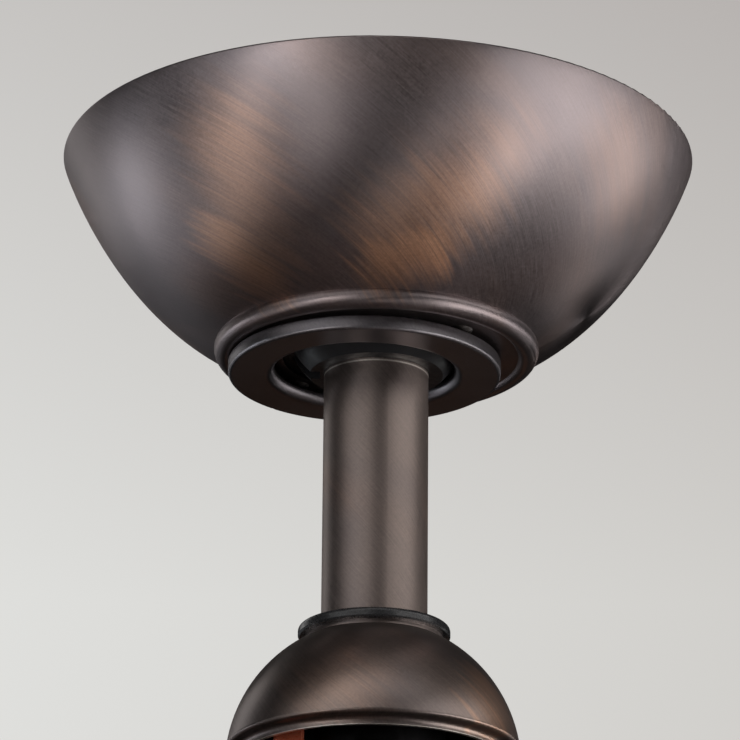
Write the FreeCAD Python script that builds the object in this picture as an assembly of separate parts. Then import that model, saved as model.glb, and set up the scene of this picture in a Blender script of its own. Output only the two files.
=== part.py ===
"""Ceiling fan with light: bowl canopy, hanging ball, short downrod, dome coupling cover, five wooden
blades and a glass bowl light.

Millimetres. +Z is up. The origin is where the fan's axis meets the ceiling, so the whole fan hangs in
-Z. Everything below the hanging ball is drawn plumb, with the gap between two blades facing -Y.
"""

import FreeCAD
import Part
import math
import os

V = FreeCAD.Vector
AXIS = V(0, 0, 1)
OUT = "parts"

# ---- fits and sheet metal --------------------------------------------------------------------------
SLIP = 0.05  # radial gap of a close fit inside one body
RUN = 0.08  # radial gap where one body turns or swings in another
CLEAR = 0.5  # gap that keeps moving pieces apart
SHEET = 1.2  # spun and pressed shells

# ---- ceiling side ----------------------------------------------------------------------------------
CANOPY_R = 81.5  # canopy rim on the ceiling
CANOPY_WALL = 1.0
CANOPY_FOOT_R = 41.3  # where the bowl meets its bead
CANOPY_FOOT_Z = -50.5
CANOPY_RIM_LEAN = 18.0  # wall from the vertical at the rim, degrees
CANOPY_FOOT_SLOPE = 27.0  # wall from the horizontal at the bead, degrees
CANOPY_RIM_PULL = 3.4  # length of the bowl curve's handle at the rim
CANOPY_FOOT_PULL = 30.0  # and at the bead
CANOPY_RIM_ROUND = 0.6
BEAD_R = 3.0  # half-round bead under the bowl
RECESS_DROP = 1.9  # canopy's flat underside below the bead's centre
RING_GAP = 0.7  # trim ring to the bead's inner side
RING_HEIGHT = 7.0
RING_OFFSET = -3.0  # along X: the ring sits off the canopy's axis
RING_CLEAR = 0.3  # ring's edge under the bead
MAGNET_R = 3.0  # magnets that hold the ring to the canopy
MAGNET_AT = 29.0
MAGNET_TURN = 22.5  # first magnet from +X, clear of the canopy screws
RING_HOLE_R = 23.0
RING_ROUND = 0.9  # outer corner
RING_LIP_ROUND = 2.6  # rolled edge of the hole
RING_SHEET = 1.4

PLATE_LENGTH = 104.0  # hanger bracket's top plate, along Y
PLATE_WIDTH = 38.0
PLATE_T = 2.5
PLATE_CORNER_R = 6.0
PLATE_FLANGE = 6.5  # depth of its two stiffening flanges
BOX_SCREW_SPACING = 88.9  # outlet box screws
BOX_HOLE_R = 2.6
JOIST_SLOT_SPACING = 46.0
JOIST_SLOT_LENGTH = 11.0
JOIST_SLOT_R = 2.7
SUPPLY_HOLE_R = 11.0
LEG_WIDTH = 26.0
LEG_T = 2.5
LEG_GAP = 4.0  # leg to ball
SEAT_T = 3.0
SEAT_EDGE = 9.5  # seat plate beyond the ball's seat
CANOPY_SCREW_R = 2.0
CANOPY_SCREW_TURN = 45.0  # from +Y, clear of the legs and of the seat's mouth
CANOPY_SCREW_HEAD_R = 3.4
CANOPY_SCREW_HEAD_H = 1.8
TAB_WIDTH = 4.0  # registration tab that keeps the ball from turning
TAB_REACH = 2.6  # how far it stands into the ball
GROOVE_GAP = 0.6
GROUND_SCREW_R = 2.0

# ---- hanging ball and downrod ----------------------------------------------------------------------
ROD_R = 13.35
ROD_WALL = 2.2
ROD_LENGTH = 152.4
ROD_PROUD = 2.0  # rod above the ball's flat top
BALL_R = 25.0
BALL_TOP = 16.0  # flat top above the ball's centre
BALL_BOTTOM = 18.3  # flat foot below it
BALL_DROP = 40.0  # ball's centre below the ceiling
PIN_R = 3.0
PIN_SHORT = 2.5  # cross pin's ends, inside the ball's surface
PIN_BELOW_TOP = 5.0
SET_SCREW_R = 2.5
WIRE_R = 1.3
WIRE_BEND_R = 7.0
LEAD_SIDE = 6.5  # leads beside the cross pins
LEAD_SPREAD = 3.0
ROD_GROMMET_T = 3.4
NUT_R = 4.2
NUT_LENGTH = 13.0

# ---- coupling and its cover ------------------------------------------------------------------------
COUPLING_WALL = 4.6
COUPLING_GRIP = 43.0  # rod held inside the coupling
COUPLING_FLOOR = 1.6
COUPLING_FLANGE_R = 30.0
COUPLING_FLANGE_T = 5.0
CLEVIS_PIN_R = 3.1
CLEVIS_PIN_UP = 14.0  # pin above the rod's foot
CLEVIS_HEAD_R = 4.6
CLIP_WIRE_R = 0.8
CLIP_HOLE_R = 1.1
COUPLING_SCREW_R = 3.2
COVER_R = 36.8  # dome cover, outside
COVER_WALL = 1.0
COVER_SLIP = 0.85  # play of the cover on the rod
COVER_REST_GAP = 0.4  # dome above the coupling's top edge
COVER_BOSS_R = 17.2
COVER_BOSS_H = 1.05
COVER_EDGE_Z = 5.2  # dome's lower edge above its centre
COVER_COLLAR_R = 33.4  # set-in collar under the dome, outside
COVER_MOUTH_Z = 1.9  # collar's foot above the dome's centre
GROMMET_R = 19.1
GROMMET_T = 2.6
GROMMET_ROUND = 1.1
PLUG_WIDTH = 7.4
PLUG_DEPTH = 10.0
PLUG_HEIGHT = 21.0

# ---- motor -----------------------------------------------------------------------------------------
SHAFT_R = 8.5
SHAFT_BORE_R = 5.6
BEARING_R = 17.5
BEARING_W = 10.0
RACE_T = 3.0
BEARING_BALL_R = 1.5
BEARING_BALLS = 9
BALL_GAP = 0.35
UPPER_BEARING_GAP = 5.0  # coupling flange to the upper bearing
MOTOR_HEIGHT = 57.0  # upper bearing's top to the lower bearing's foot
BELL_R = 88.0
BELL_T = 3.0
BELL_HUB_WALL = 4.5
CAGE_T = 14.0  # rotor ring's thickness
CAGE_H = 30.0
AIR_GAP = 0.6
STATOR_H = 22.0
STATOR_BORE_R = 28.0
STATOR_SLOTS = 18
SLOT_R = 4.2
COIL_R = 3.6
COIL_OVERHANG = 6.0
BELL_SCREWS = 5
BELL_SCREW_R = 2.0

# ---- motor housing ---------------------------------------------------------------------------------
CROWN_FLAT_R = 47.0
CROWN_R = 106.0
CROWN_DROP = 24.0
CROWN_FOOT_SLOPE = 42.0
HOUSING_BEAD_R = 3.0
HOUSING_R = 113.0
HOUSING_DRUM = 32.0
HOUSING_LIP = 9.0
HOUSING_SCREWS = 3
HOUSING_SCREW_PCD = 74.0
HOUSING_SCREW_R = 2.4
VENT_COUNT = 20
VENT_WIDTH = 4.0
VENT_HEIGHT = 15.0

# ---- blades and their irons ------------------------------------------------------------------------
BLADES = 5
FIRST_BLADE_DEG = 90.0
SWEEP_R = 660.0
BLADE_ROOT_R = 168.0
BLADE_ROOT_W = 108.0
BLADE_TIP_W = 142.0
BLADE_T = 5.5
BLADE_PITCH = 12.0
BLADE_TIP_ROUND = 46.0
BLADE_ROOT_ROUND = 18.0
BLADE_EDGE = 1.4
IRON_T = 4.0
IRON_FLANGE_W = 46.0
IRON_FLANGE_IN = 54.0
IRON_FLANGE_OUT = 92.0
IRON_DROP = 14.0
IRON_NECK_W = 22.0
IRON_PADDLE_OUT = 246.0
IRON_PADDLE_W = 74.0
IRON_RIB = 3.0
IRON_SCREW_R = 2.6
IRON_SCREW_AT = 74.0
IRON_SCREW_SPACING = 24.0
BLADE_SCREW_R = 2.3
BLADE_SCREW_HEAD_R = 4.6
WASHER_R = 6.2
WASHER_T = 0.8

# ---- switch housing and light ----------------------------------------------------------------------
IRON_TO_CUP = 5.0  # iron flanges down to the switch housing's rim
CUP_RIM_R = 90.0
CUP_R = 58.0
CUP_CURVE = 20.0
CUP_WALL_H = 24.0
CARRIER_R = 52.0
CARRIER_T = 2.0
SHAFT_NUT_R = 13.0
SHAFT_NUT_H = 7.0
CUP_SCREWS = 3
CUP_SCREW_R = 2.0
TAB_ANGLES = (90.0, 210.0, 330.0)
SWITCH_TRAVEL = 5.0
SWITCH_KNOB_W = 5.0
SWITCH_KNOB_H = 6.0
SWITCH_PLATE_W = 22.0
SWITCH_PLATE_H = 13.0
NIPPLE_R = 6.3
NIPPLE_BORE = 4.4
NIPPLE_NUT_H = 4.0
PAN_R = 114.0
PAN_DROP = 12.0
PAN_RIM_H = 14.0
GLASS_R = 109.0
GLASS_DEPTH = 74.0
GLASS_WALL = 3.2
GLASS_COLLAR_H = 6.0
COLLAR_LUGS = 3
LUG_DEG = 16.0
LUG_T = 1.4
LUG_REACH = 2.6
LUG_GAP = 0.4
STANDOFF_AT = 54.0
HEAT_SINK_R = 86.0
HEAT_SINK_T = 4.0
LED_BOARD_R = 80.0
LED_BOARD_T = 1.6
LED_SIZE = 3.2
LED_T = 0.8
LED_RINGS = ((24.0, 8), (46.0, 16), (68.0, 24))

# ---- levels worked out from the sizes above --------------------------------------------------------
BEAD_C_R = CANOPY_FOOT_R - BEAD_R * math.cos(math.radians(24))
BEAD_C_Z = CANOPY_FOOT_Z - BEAD_R * math.sin(math.radians(24))
RECESS_Z = BEAD_C_Z - RECESS_DROP  # flat under the canopy, inside the bead
RING_R = BEAD_C_R - BEAD_R - RING_GAP
RING_TOP_Z = BEAD_C_Z - BEAD_R - RING_CLEAR
RING_FOOT_Z = BEAD_C_Z - RING_HEIGHT
CANOPY_HOLE_R = RING_HOLE_R + 1.0
SEAT_FOOT_Z = RECESS_Z + CANOPY_WALL
SEAT_TOP_Z = SEAT_FOOT_Z + SEAT_T
BALL_Z = -BALL_DROP
SEAT_R = math.sqrt(BALL_R**2 - (SEAT_TOP_Z - BALL_Z) ** 2)
SEAT_PLATE_R = SEAT_R + SEAT_EDGE
CANOPY_SCREW_AT = (CANOPY_HOLE_R + RING_R) / 2
ROD_TOP_Z = BALL_Z + BALL_TOP + ROD_PROUD
ROD_FOOT_Z = ROD_TOP_Z - ROD_LENGTH
BALL_PIN_Z = BALL_Z + BALL_TOP - PIN_BELOW_TOP
COUPLING_R = ROD_R + COUPLING_WALL
COUPLING_TOP_Z = ROD_FOOT_Z + COUPLING_GRIP
FLANGE_TOP_Z = ROD_FOOT_Z - COUPLING_FLOOR
FLANGE_FOOT_Z = FLANGE_TOP_Z - COUPLING_FLANGE_T
CLEVIS_Z = ROD_FOOT_Z + CLEVIS_PIN_UP
COUPLING_SCREW_Z = (COUPLING_TOP_Z + CLEVIS_Z) / 2 + 3.0
COVER_C_Z = COUPLING_TOP_Z + COVER_REST_GAP - math.sqrt((COVER_R - COVER_WALL) ** 2 - COUPLING_R**2)
COVER_BOSS_Z = COVER_C_Z + math.sqrt(COVER_R**2 - COVER_BOSS_R**2)
COVER_TOP_Z = COVER_BOSS_Z + COVER_BOSS_H
COVER_HOLE_R = ROD_R + COVER_SLIP
UPPER_BEARING_Z = FLANGE_FOOT_Z - UPPER_BEARING_GAP
LOWER_BEARING_Z = UPPER_BEARING_Z - MOTOR_HEIGHT + BEARING_W
MOTOR_MID_Z = UPPER_BEARING_Z - MOTOR_HEIGHT / 2
BELL_TOP_Z = UPPER_BEARING_Z - 3.0
BELL_FOOT_Z = UPPER_BEARING_Z - MOTOR_HEIGHT + 1.0
CAGE_R = BELL_R - BELL_T
STATOR_R = CAGE_R - CAGE_T - AIR_GAP
CROWN_Z = FLANGE_TOP_Z + SHEET
CROWN_FOOT_Z = CROWN_Z - CROWN_DROP
HOUSING_BEAD_Z = CROWN_FOOT_Z - HOUSING_BEAD_R
DRUM_TOP_Z = HOUSING_BEAD_Z - HOUSING_BEAD_R
DRUM_FOOT_Z = DRUM_TOP_Z - HOUSING_DRUM
IRON_TOP_Z = BELL_FOOT_Z
PADDLE_Z = IRON_TOP_Z - IRON_DROP
CUP_TOP_Z = IRON_TOP_Z - IRON_T - IRON_TO_CUP
CUP_NECK_Z = CUP_TOP_Z - CUP_CURVE
CUP_FOOT_Z = CUP_NECK_Z - CUP_WALL_H
CARRIER_TOP_Z = IRON_TOP_Z - IRON_T - 4.0
SHAFT_FOOT_Z = CARRIER_TOP_Z - CARRIER_T - SHAFT_NUT_H - 2.0
PAN_RIM_TOP_Z = CUP_FOOT_Z - PAN_DROP
PAN_FOOT_Z = PAN_RIM_TOP_Z - PAN_RIM_H
GLASS_TOP_Z = PAN_FOOT_Z
HEAT_SINK_TOP_Z = PAN_RIM_TOP_Z - 1.5
LED_BOARD_TOP_Z = HEAT_SINK_TOP_Z - HEAT_SINK_T
SWITCH_Z = CUP_NECK_Z - CUP_WALL_H / 2
GLASS_COLLAR_TOP_Z = PAN_FOOT_Z + GLASS_COLLAR_H


# ---- outlines and solids ---------------------------------------------------------------------------
class Outline:
    """A closed outline in the XZ half plane, drawn point by point as (radius, height)."""

    def __init__(self, r, z):
        self.start = V(r, 0, z)
        self.at = self.start
        self.edges = []

    def line(self, r, z):
        end = V(r, 0, z)
        self.edges.append(Part.LineSegment(self.at, end).toShape())
        self.at = end
        return self

    def arc(self, centre, radius, start_deg, end_deg):
        """An arc from the present point; angles are counted from +r towards +z."""
        middle = math.radians((start_deg + end_deg) / 2)
        last = math.radians(end_deg)
        via = V(centre[0] + radius * math.cos(middle), 0, centre[1] + radius * math.sin(middle))
        end = V(centre[0] + radius * math.cos(last), 0, centre[1] + radius * math.sin(last))
        self.edges.append(Part.Arc(self.at, via, end).toShape())
        self.at = end
        return self

    def bezier(self, *poles):
        points = [self.at] + [V(r, 0, z) for r, z in poles]
        curve = Part.BezierCurve()
        curve.setPoles(points)
        self.edges.append(curve.toShape())
        self.at = points[-1]
        return self

    def face(self):
        if (self.at - self.start).Length > 1e-6:
            self.line(self.start.x, self.start.z)
        return Part.Face(Part.Wire(self.edges))

    def revolve(self, degrees=360):
        return self.face().revolve(V(0, 0, 0), AXIS, degrees)


def tube(outer, inner, foot, top, at=(0, 0)):
    solid = Part.makeCylinder(outer, top - foot, V(at[0], at[1], foot))
    if inner:
        solid = solid.cut(Part.makeCylinder(inner, top - foot + 2, V(at[0], at[1], foot - 1)))
    return solid


def rod_along(direction, radius, start, length):
    return Part.makeCylinder(radius, length, V(*start), V(*direction))


def moved(shape, x=0.0, y=0.0, z=0.0):
    shape = shape.copy()
    shape.translate(V(x, y, z))
    return shape


def box(x, y, z):
    """A box from three (low, high) pairs."""
    return Part.makeBox(x[1] - x[0], y[1] - y[0], z[1] - z[0], V(x[0], y[0], z[0]))


def around(shape, count, first=0.0):
    """Copies of a shape turned about the fan's axis."""
    copies = []
    for i in range(count):
        copy = shape.copy()
        copy.rotate(V(0, 0, 0), AXIS, first + 360.0 * i / count)
        copies.append(copy)
    return copies


def cut_all(shape, tools):
    for tool in tools:
        shape = shape.cut(tool)
    return shape


def fuse_all(shapes):
    result = shapes[0]
    for shape in shapes[1:]:
        result = result.fuse(shape)
    return result.removeSplitter()


def polar(radius, degrees, z=0.0):
    a = math.radians(degrees)
    return V(radius * math.cos(a), radius * math.sin(a), z)


def pan_screw(at, shank_r, shank_length, head_r, head_h, up=True):
    """A pan-head screw with a cross recess. Its head is below the seat face when up is True."""
    shank = Part.makeCylinder(shank_r, shank_length, V(0, 0, 0))
    dome = head_r**2 / (2 * head_h) + head_h / 2
    head = Part.makeSphere(dome, V(0, 0, dome - head_h)).common(
        Part.makeCylinder(head_r, head_h, V(0, 0, -head_h))
    )
    recess_w, recess_l = head_r * 0.22, head_r * 1.1
    for size in ((recess_l, recess_w), (recess_w, recess_l)):
        cut = Part.makeBox(size[0], size[1], head_h * 0.6, V(-size[0] / 2, -size[1] / 2, -head_h - 0.01))
        head = head.cut(cut)
    screw = shank.fuse(head).removeSplitter()
    if not up:
        screw.rotate(V(0, 0, 0), V(1, 0, 0), 180)
    screw.translate(V(*at))
    return screw


def offset_pull(points, wall):
    """The poles of a cubic curve moved to its left by the wall's thickness, end normals at each end."""
    (r0, z0), (r1, z1), (r2, z2), (r3, z3) = points
    first = math.atan2(z1 - z0, r1 - r0) - math.pi / 2
    last = math.atan2(z3 - z2, r3 - r2) - math.pi / 2
    shift = [first, first, last, last]
    return [
        (r + wall * math.cos(a), z + wall * math.sin(a))
        for (r, z), a in zip(points, shift)
    ]


# ---- ceiling side ----------------------------------------------------------------------------------
def canopy_curve():
    lean, slope = math.radians(CANOPY_RIM_LEAN), math.radians(CANOPY_FOOT_SLOPE)
    return [
        (CANOPY_R, -CANOPY_RIM_ROUND),
        (CANOPY_R - CANOPY_RIM_PULL * math.sin(lean), -CANOPY_RIM_ROUND - CANOPY_RIM_PULL * math.cos(lean)),
        (
            CANOPY_FOOT_R + CANOPY_FOOT_PULL * math.cos(slope),
            CANOPY_FOOT_Z + CANOPY_FOOT_PULL * math.sin(slope),
        ),
        (CANOPY_FOOT_R, CANOPY_FOOT_Z),
    ]


def canopy():
    """Spun bowl with a bead and a recess for the trim ring."""
    outer = canopy_curve()
    inner = offset_pull(outer, CANOPY_WALL)
    foot_z = RECESS_Z + CANOPY_WALL
    shell = Outline(CANOPY_R - CANOPY_RIM_ROUND, 0)
    shell.arc((CANOPY_R - CANOPY_RIM_ROUND, -CANOPY_RIM_ROUND), CANOPY_RIM_ROUND, 90, 0)
    shell.bezier(*outer[1:])
    recess_a = math.degrees(math.asin(RECESS_DROP / BEAD_R)) - 180
    shell.arc((BEAD_C_R, BEAD_C_Z), BEAD_R, 24, recess_a)
    shell.line(CANOPY_HOLE_R, RECESS_Z)
    shell.line(CANOPY_HOLE_R, foot_z)
    shell.line(inner[3][0], foot_z)
    shell.line(*inner[3])
    shell.bezier(inner[2], inner[1], inner[0])
    shell.line(inner[0][0], 0)
    solid = shell.revolve()
    hole = tube(CANOPY_SCREW_R + 0.3, 0, RECESS_Z - 1, foot_z + 1, (0, CANOPY_SCREW_AT))
    return cut_all(solid, around(hole, 2, CANOPY_SCREW_TURN))


def canopy_ring():
    """Trim ring: a channel that covers the canopy screws, with a rolled hole for the downrod."""
    foot, t, lip = RING_FOOT_Z, RING_SHEET, RING_LIP_ROUND
    lip_top = foot + lip + 0.2
    ring = Outline(RING_R - t, RING_TOP_Z)
    ring.line(RING_R - 0.4, RING_TOP_Z)
    ring.arc((RING_R - 0.4, RING_TOP_Z - 0.4), 0.4, 90, 0)
    ring.line(RING_R, foot + RING_ROUND)
    ring.arc((RING_R - RING_ROUND, foot + RING_ROUND), RING_ROUND, 0, -90)
    ring.line(RING_HOLE_R + lip, foot)
    ring.arc((RING_HOLE_R + lip, foot + lip), lip, -90, -180)
    ring.line(RING_HOLE_R, lip_top)
    ring.line(RING_HOLE_R + t, lip_top)
    ring.line(RING_HOLE_R + t, foot + lip)
    ring.arc((RING_HOLE_R + lip, foot + lip), lip - t, 180, 270)
    ring.line(RING_R - t, foot + t)
    return moved(ring.revolve(), x=RING_OFFSET)


def ring_magnets():
    """Four disc magnets between the ring's floor and the canopy."""
    magnet = tube(MAGNET_R, 0, RING_FOOT_Z + RING_SHEET, RECESS_Z, (MAGNET_AT, 0))
    return moved(Part.makeCompound(around(magnet, 4, MAGNET_TURN)), x=RING_OFFSET)


def canopy_screws():
    length = SEAT_TOP_Z - RECESS_Z + 1.0
    screw = pan_screw(
        (0, CANOPY_SCREW_AT, RECESS_Z), CANOPY_SCREW_R, length, CANOPY_SCREW_HEAD_R, CANOPY_SCREW_HEAD_H
    )
    return Part.makeCompound(around(screw, 2, CANOPY_SCREW_TURN))


def slot_tool(at_y, half_length, radius, low, high):
    body = box((-radius, radius), (at_y - half_length + radius, at_y + half_length - radius), (low, high))
    ends = [
        tube(radius, 0, low, high, (0, at_y + s * (half_length - radius)))
        for s in (-1, 1)
    ]
    return body.fuse(ends[0]).fuse(ends[1])


def hanger_bracket():
    """Top plate with flanges, two legs and the seat plate that the ball hangs in."""
    half_l, half_w = PLATE_LENGTH / 2, PLATE_WIDTH / 2
    plate = box((-half_w, half_w), (-half_l, half_l), (-PLATE_T, 0))
    corners = [e for e in plate.Edges if abs(e.Vertexes[0].Z - e.Vertexes[-1].Z) > PLATE_T / 2]
    plate = plate.makeFillet(PLATE_CORNER_R, corners)
    leg_in = BALL_R + LEG_GAP
    parts = [plate]
    for side in (-1, 1):
        x = sorted((side * half_w, side * (half_w - 1.6)))
        run = (-half_l + PLATE_CORNER_R, half_l - PLATE_CORNER_R)
        parts.append(box(x, run, (-PLATE_FLANGE, -PLATE_T / 2)))
        y = sorted((side * leg_in, side * (leg_in + LEG_T)))
        parts.append(box((-LEG_WIDTH / 2, LEG_WIDTH / 2), y, (SEAT_TOP_Z - SEAT_T / 2, -PLATE_T / 2)))
    parts.append(tube(SEAT_PLATE_R, 0, SEAT_FOOT_Z, SEAT_TOP_Z))
    bracket = fuse_all(parts)
    bracket = bracket.cut(Part.makeSphere(BALL_R + RUN, V(0, 0, BALL_Z)))
    mouth = ROD_R + 1.0
    bracket = bracket.cut(box((0, SEAT_PLATE_R + 1), (-mouth, mouth), (SEAT_FOOT_Z - 1, SEAT_TOP_Z + 1)))
    holes = [tube(SUPPLY_HOLE_R, 0, -PLATE_T - 1, 1)]
    for side in (-1, 1):
        holes.append(tube(BOX_HOLE_R, 0, -PLATE_T - 1, 1, (0, side * BOX_SCREW_SPACING / 2)))
        holes.append(
            slot_tool(side * JOIST_SLOT_SPACING / 2, JOIST_SLOT_LENGTH / 2, JOIST_SLOT_R, -PLATE_T - 1, 1)
        )
    holes.append(tube(GROUND_SCREW_R + SLIP, 0, -PLATE_T - 1, 1, ground_screw_place()))
    screw_hole = tube(CANOPY_SCREW_R + SLIP, 0, SEAT_FOOT_Z - 1, SEAT_TOP_Z + 1, (0, CANOPY_SCREW_AT))
    holes += around(screw_hole, 2, CANOPY_SCREW_TURN)
    bracket = cut_all(bracket, holes)
    tab_in = math.sqrt((BALL_R - TAB_REACH) ** 2 - (SEAT_TOP_Z - BALL_Z) ** 2)
    tab = box((-SEAT_R - 3.0, -tab_in), (-TAB_WIDTH / 2, TAB_WIDTH / 2), (SEAT_FOOT_Z, SEAT_TOP_Z))
    return bracket.fuse(tab).removeSplitter()


def ground_screw_place():
    return (PLATE_WIDTH / 2 - 6.5, -PLATE_LENGTH / 2 + 12.0)


def ground_screw():
    x, y = ground_screw_place()
    return pan_screw((x, y, -PLATE_T), GROUND_SCREW_R, PLATE_T - 0.2, 3.4, 1.8)


# ---- ball, rod and leads ---------------------------------------------------------------------------
def hanger_ball():
    """Ball with flat ends, a bore for the rod and a groove for the seat's tab."""
    ball = Part.makeSphere(BALL_R, V(0, 0, BALL_Z))
    ball = ball.common(
        Part.makeCylinder(BALL_R + 1, BALL_TOP + BALL_BOTTOM, V(0, 0, BALL_Z - BALL_BOTTOM))
    )
    ball = ball.cut(tube(ROD_R + SLIP, 0, BALL_Z - BALL_R, BALL_Z + BALL_R))
    half = TAB_WIDTH / 2 + GROOVE_GAP
    floor = BALL_R - TAB_REACH - GROOVE_GAP
    ring = Part.makeCylinder(BALL_R + 1, 2 * half, V(0, -half, BALL_Z), V(0, 1, 0))
    ring = ring.cut(Part.makeCylinder(floor, 2 * half + 2, V(0, -half - 1, BALL_Z), V(0, 1, 0)))
    groove = ring.common(box((-BALL_R - 1, -ROD_R - 1), (-half - 1, half + 1), (BALL_Z - BALL_R, BALL_Z + 6)))
    ball = ball.cut(groove)
    ball = ball.cut(rod_along((0, 1, 0), PIN_R + SLIP, (0, -BALL_R, BALL_PIN_Z), 2 * BALL_R))
    return ball.cut(rod_along((1, 0, 0), SET_SCREW_R + SLIP, (0, 0, BALL_Z), BALL_R + 1))


def ball_pin():
    reach = math.sqrt(BALL_R**2 - (BALL_PIN_Z - BALL_Z) ** 2) - PIN_SHORT
    pin = rod_along((0, 1, 0), PIN_R, (0, -reach, BALL_PIN_Z), 2 * reach)
    return pin.makeChamfer(0.6, pin.Edges)


def ball_set_screw():
    screw = rod_along((1, 0, 0), SET_SCREW_R, (ROD_R + 0.01, 0, BALL_Z), BALL_R - ROD_R - 2.0)
    socket = rod_along((1, 0, 0), SET_SCREW_R * 0.5, (BALL_R - 4.5, 0, BALL_Z), 5)
    return screw.cut(socket)


def downrod():
    rod = tube(ROD_R, ROD_R - ROD_WALL, ROD_FOOT_Z, ROD_TOP_Z)
    rod = rod.makeChamfer(0.5, [e for e in rod.Edges if e.Curve.TypeId == "Part::GeomCircle"])
    rod = rod.cut(rod_along((0, 1, 0), PIN_R + SLIP, (0, -20, BALL_PIN_Z), 40))
    return rod.cut(rod_along((0, 1, 0), CLEVIS_PIN_R + SLIP, (0, -20, CLEVIS_Z), 40))


def leads():
    """(x, y, side) of the live, neutral and earth leads."""
    return ((-LEAD_SIDE, LEAD_SPREAD, 1), (-LEAD_SIDE, -LEAD_SPREAD, -1), (LEAD_SIDE, 0.0, 1))


def lead_path(x, y, side):
    """Centreline of one lead: up inside the rod, then over to the side."""
    foot = V(x, y, ROD_FOOT_Z + 2.0)
    turn = V(x, y, ROD_TOP_Z + 1.0)
    a = math.radians(45)
    centre = turn + V(0, side * WIRE_BEND_R, 0)
    via = centre + V(0, -side * WIRE_BEND_R * math.cos(a), WIRE_BEND_R * math.sin(a))
    end = centre + V(0, 0, WIRE_BEND_R)
    tail = end + V(0, side * 3.0, 0)
    edges = [
        Part.LineSegment(foot, turn).toShape(),
        Part.Arc(turn, via, end).toShape(),
        Part.LineSegment(end, tail).toShape(),
    ]
    return Part.Wire(edges), tail


def lead_wires():
    wires = []
    for x, y, side in leads():
        path, _ = lead_path(x, y, side)
        section = Part.Wire(Part.Circle(V(x, y, ROD_FOOT_Z + 2.0), AXIS, WIRE_R).toShape())
        wires.append(path.makePipeShell([section], True, False))
    return Part.makeCompound(wires)


def rod_grommet():
    """Rubber disc in the rod's top that holds the leads apart."""
    disc = tube(ROD_R - ROD_WALL - SLIP, 0, ROD_TOP_Z - ROD_GROMMET_T, ROD_TOP_Z)
    holes = [tube(WIRE_R + SLIP, 0, ROD_TOP_Z - 10, ROD_TOP_Z + 1, (x, y)) for x, y, _ in leads()]
    return cut_all(disc, holes)


def wire_nuts():
    nuts = []
    for x, y, side in leads():
        _, tail = lead_path(x, y, side)
        seat = tail - V(0, side * 2.5, 0)
        nut = Part.makeCone(NUT_R, NUT_R * 0.62, NUT_LENGTH, seat, V(0, side, 0))
        bore = Part.makeCylinder(WIRE_R + SLIP, 3.5 + SLIP, tail - V(0, side * 3.5, 0), V(0, side, 0))
        nuts.append(nut.cut(bore))
    return Part.makeCompound(nuts)


# ---- coupling and its cover ------------------------------------------------------------------------
def coupling():
    """Socket for the rod on a round foot that carries the motor shaft."""
    parts = [
        tube(COUPLING_R, ROD_R + SLIP, ROD_FOOT_Z, COUPLING_TOP_Z),
        tube(COUPLING_R, SHAFT_BORE_R, FLANGE_TOP_Z, ROD_FOOT_Z),
        tube(COUPLING_FLANGE_R, SHAFT_R + SLIP, FLANGE_FOOT_Z, FLANGE_TOP_Z),
    ]
    body = fuse_all(parts)
    body = body.cut(rod_along((0, 1, 0), CLEVIS_PIN_R + SLIP, (0, -30, CLEVIS_Z), 60))
    return body.cut(rod_along((1, 0, 0), COUPLING_SCREW_R + SLIP, (0, 0, COUPLING_SCREW_Z), 30)).cut(
        rod_along((-1, 0, 0), COUPLING_SCREW_R + SLIP, (0, 0, COUPLING_SCREW_Z), 30)
    )


def clevis_pin():
    end = COUPLING_R + 5.5
    pin = rod_along((0, 1, 0), CLEVIS_PIN_R, (0, -COUPLING_R, CLEVIS_Z), COUPLING_R + end)
    pin = pin.fuse(rod_along((0, 1, 0), CLEVIS_HEAD_R, (0, -COUPLING_R - 2.0, CLEVIS_Z), 2.0))
    return pin.cut(rod_along((1, 0, 0), CLIP_HOLE_R, (-10, end - 2.8, CLEVIS_Z), 20)).removeSplitter()


def cotter_pin():
    """Straight shank through the clevis pin's end, with an eye."""
    y = COUPLING_R + 5.5 - 2.8
    eye_r = 2.4
    shank = rod_along((1, 0, 0), CLIP_WIRE_R, (-8.0, y, CLEVIS_Z), 8.0 + CLEVIS_PIN_R + 1.5)
    eye = Part.makeTorus(eye_r, CLIP_WIRE_R, V(CLEVIS_PIN_R + 1.5 + eye_r, y, CLEVIS_Z), V(0, 1, 0))
    return shank.fuse(eye).removeSplitter()


def coupling_screws():
    """Two hexagon-head screws that bear on the rod."""
    hexagon = Part.makePolygon([polar(4.6, 60 * i) for i in range(7)])
    head = Part.Face(Part.Wire(hexagon.Edges)).extrude(V(0, 0, 3.4))
    head.translate(V(0, 0, COUPLING_R))
    screw = Part.makeCylinder(COUPLING_SCREW_R, COUPLING_WALL, V(0, 0, ROD_R)).fuse(head).removeSplitter()
    screw.rotate(V(0, 0, 0), V(0, 1, 0), 90)
    screw.translate(V(0, 0, COUPLING_SCREW_Z))
    return Part.makeCompound(around(screw, 2))


def lead_connector():
    """Plug of the motor's leads, standing on the coupling's foot beside the rod socket."""
    x1 = -COUPLING_R + 1.0
    y1 = -8.6
    plug = box((x1 - PLUG_WIDTH, x1), (y1 - PLUG_DEPTH, y1), (FLANGE_TOP_Z, FLANGE_TOP_Z + PLUG_HEIGHT))
    return plug.makeChamfer(0.7, plug.Edges)


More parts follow.
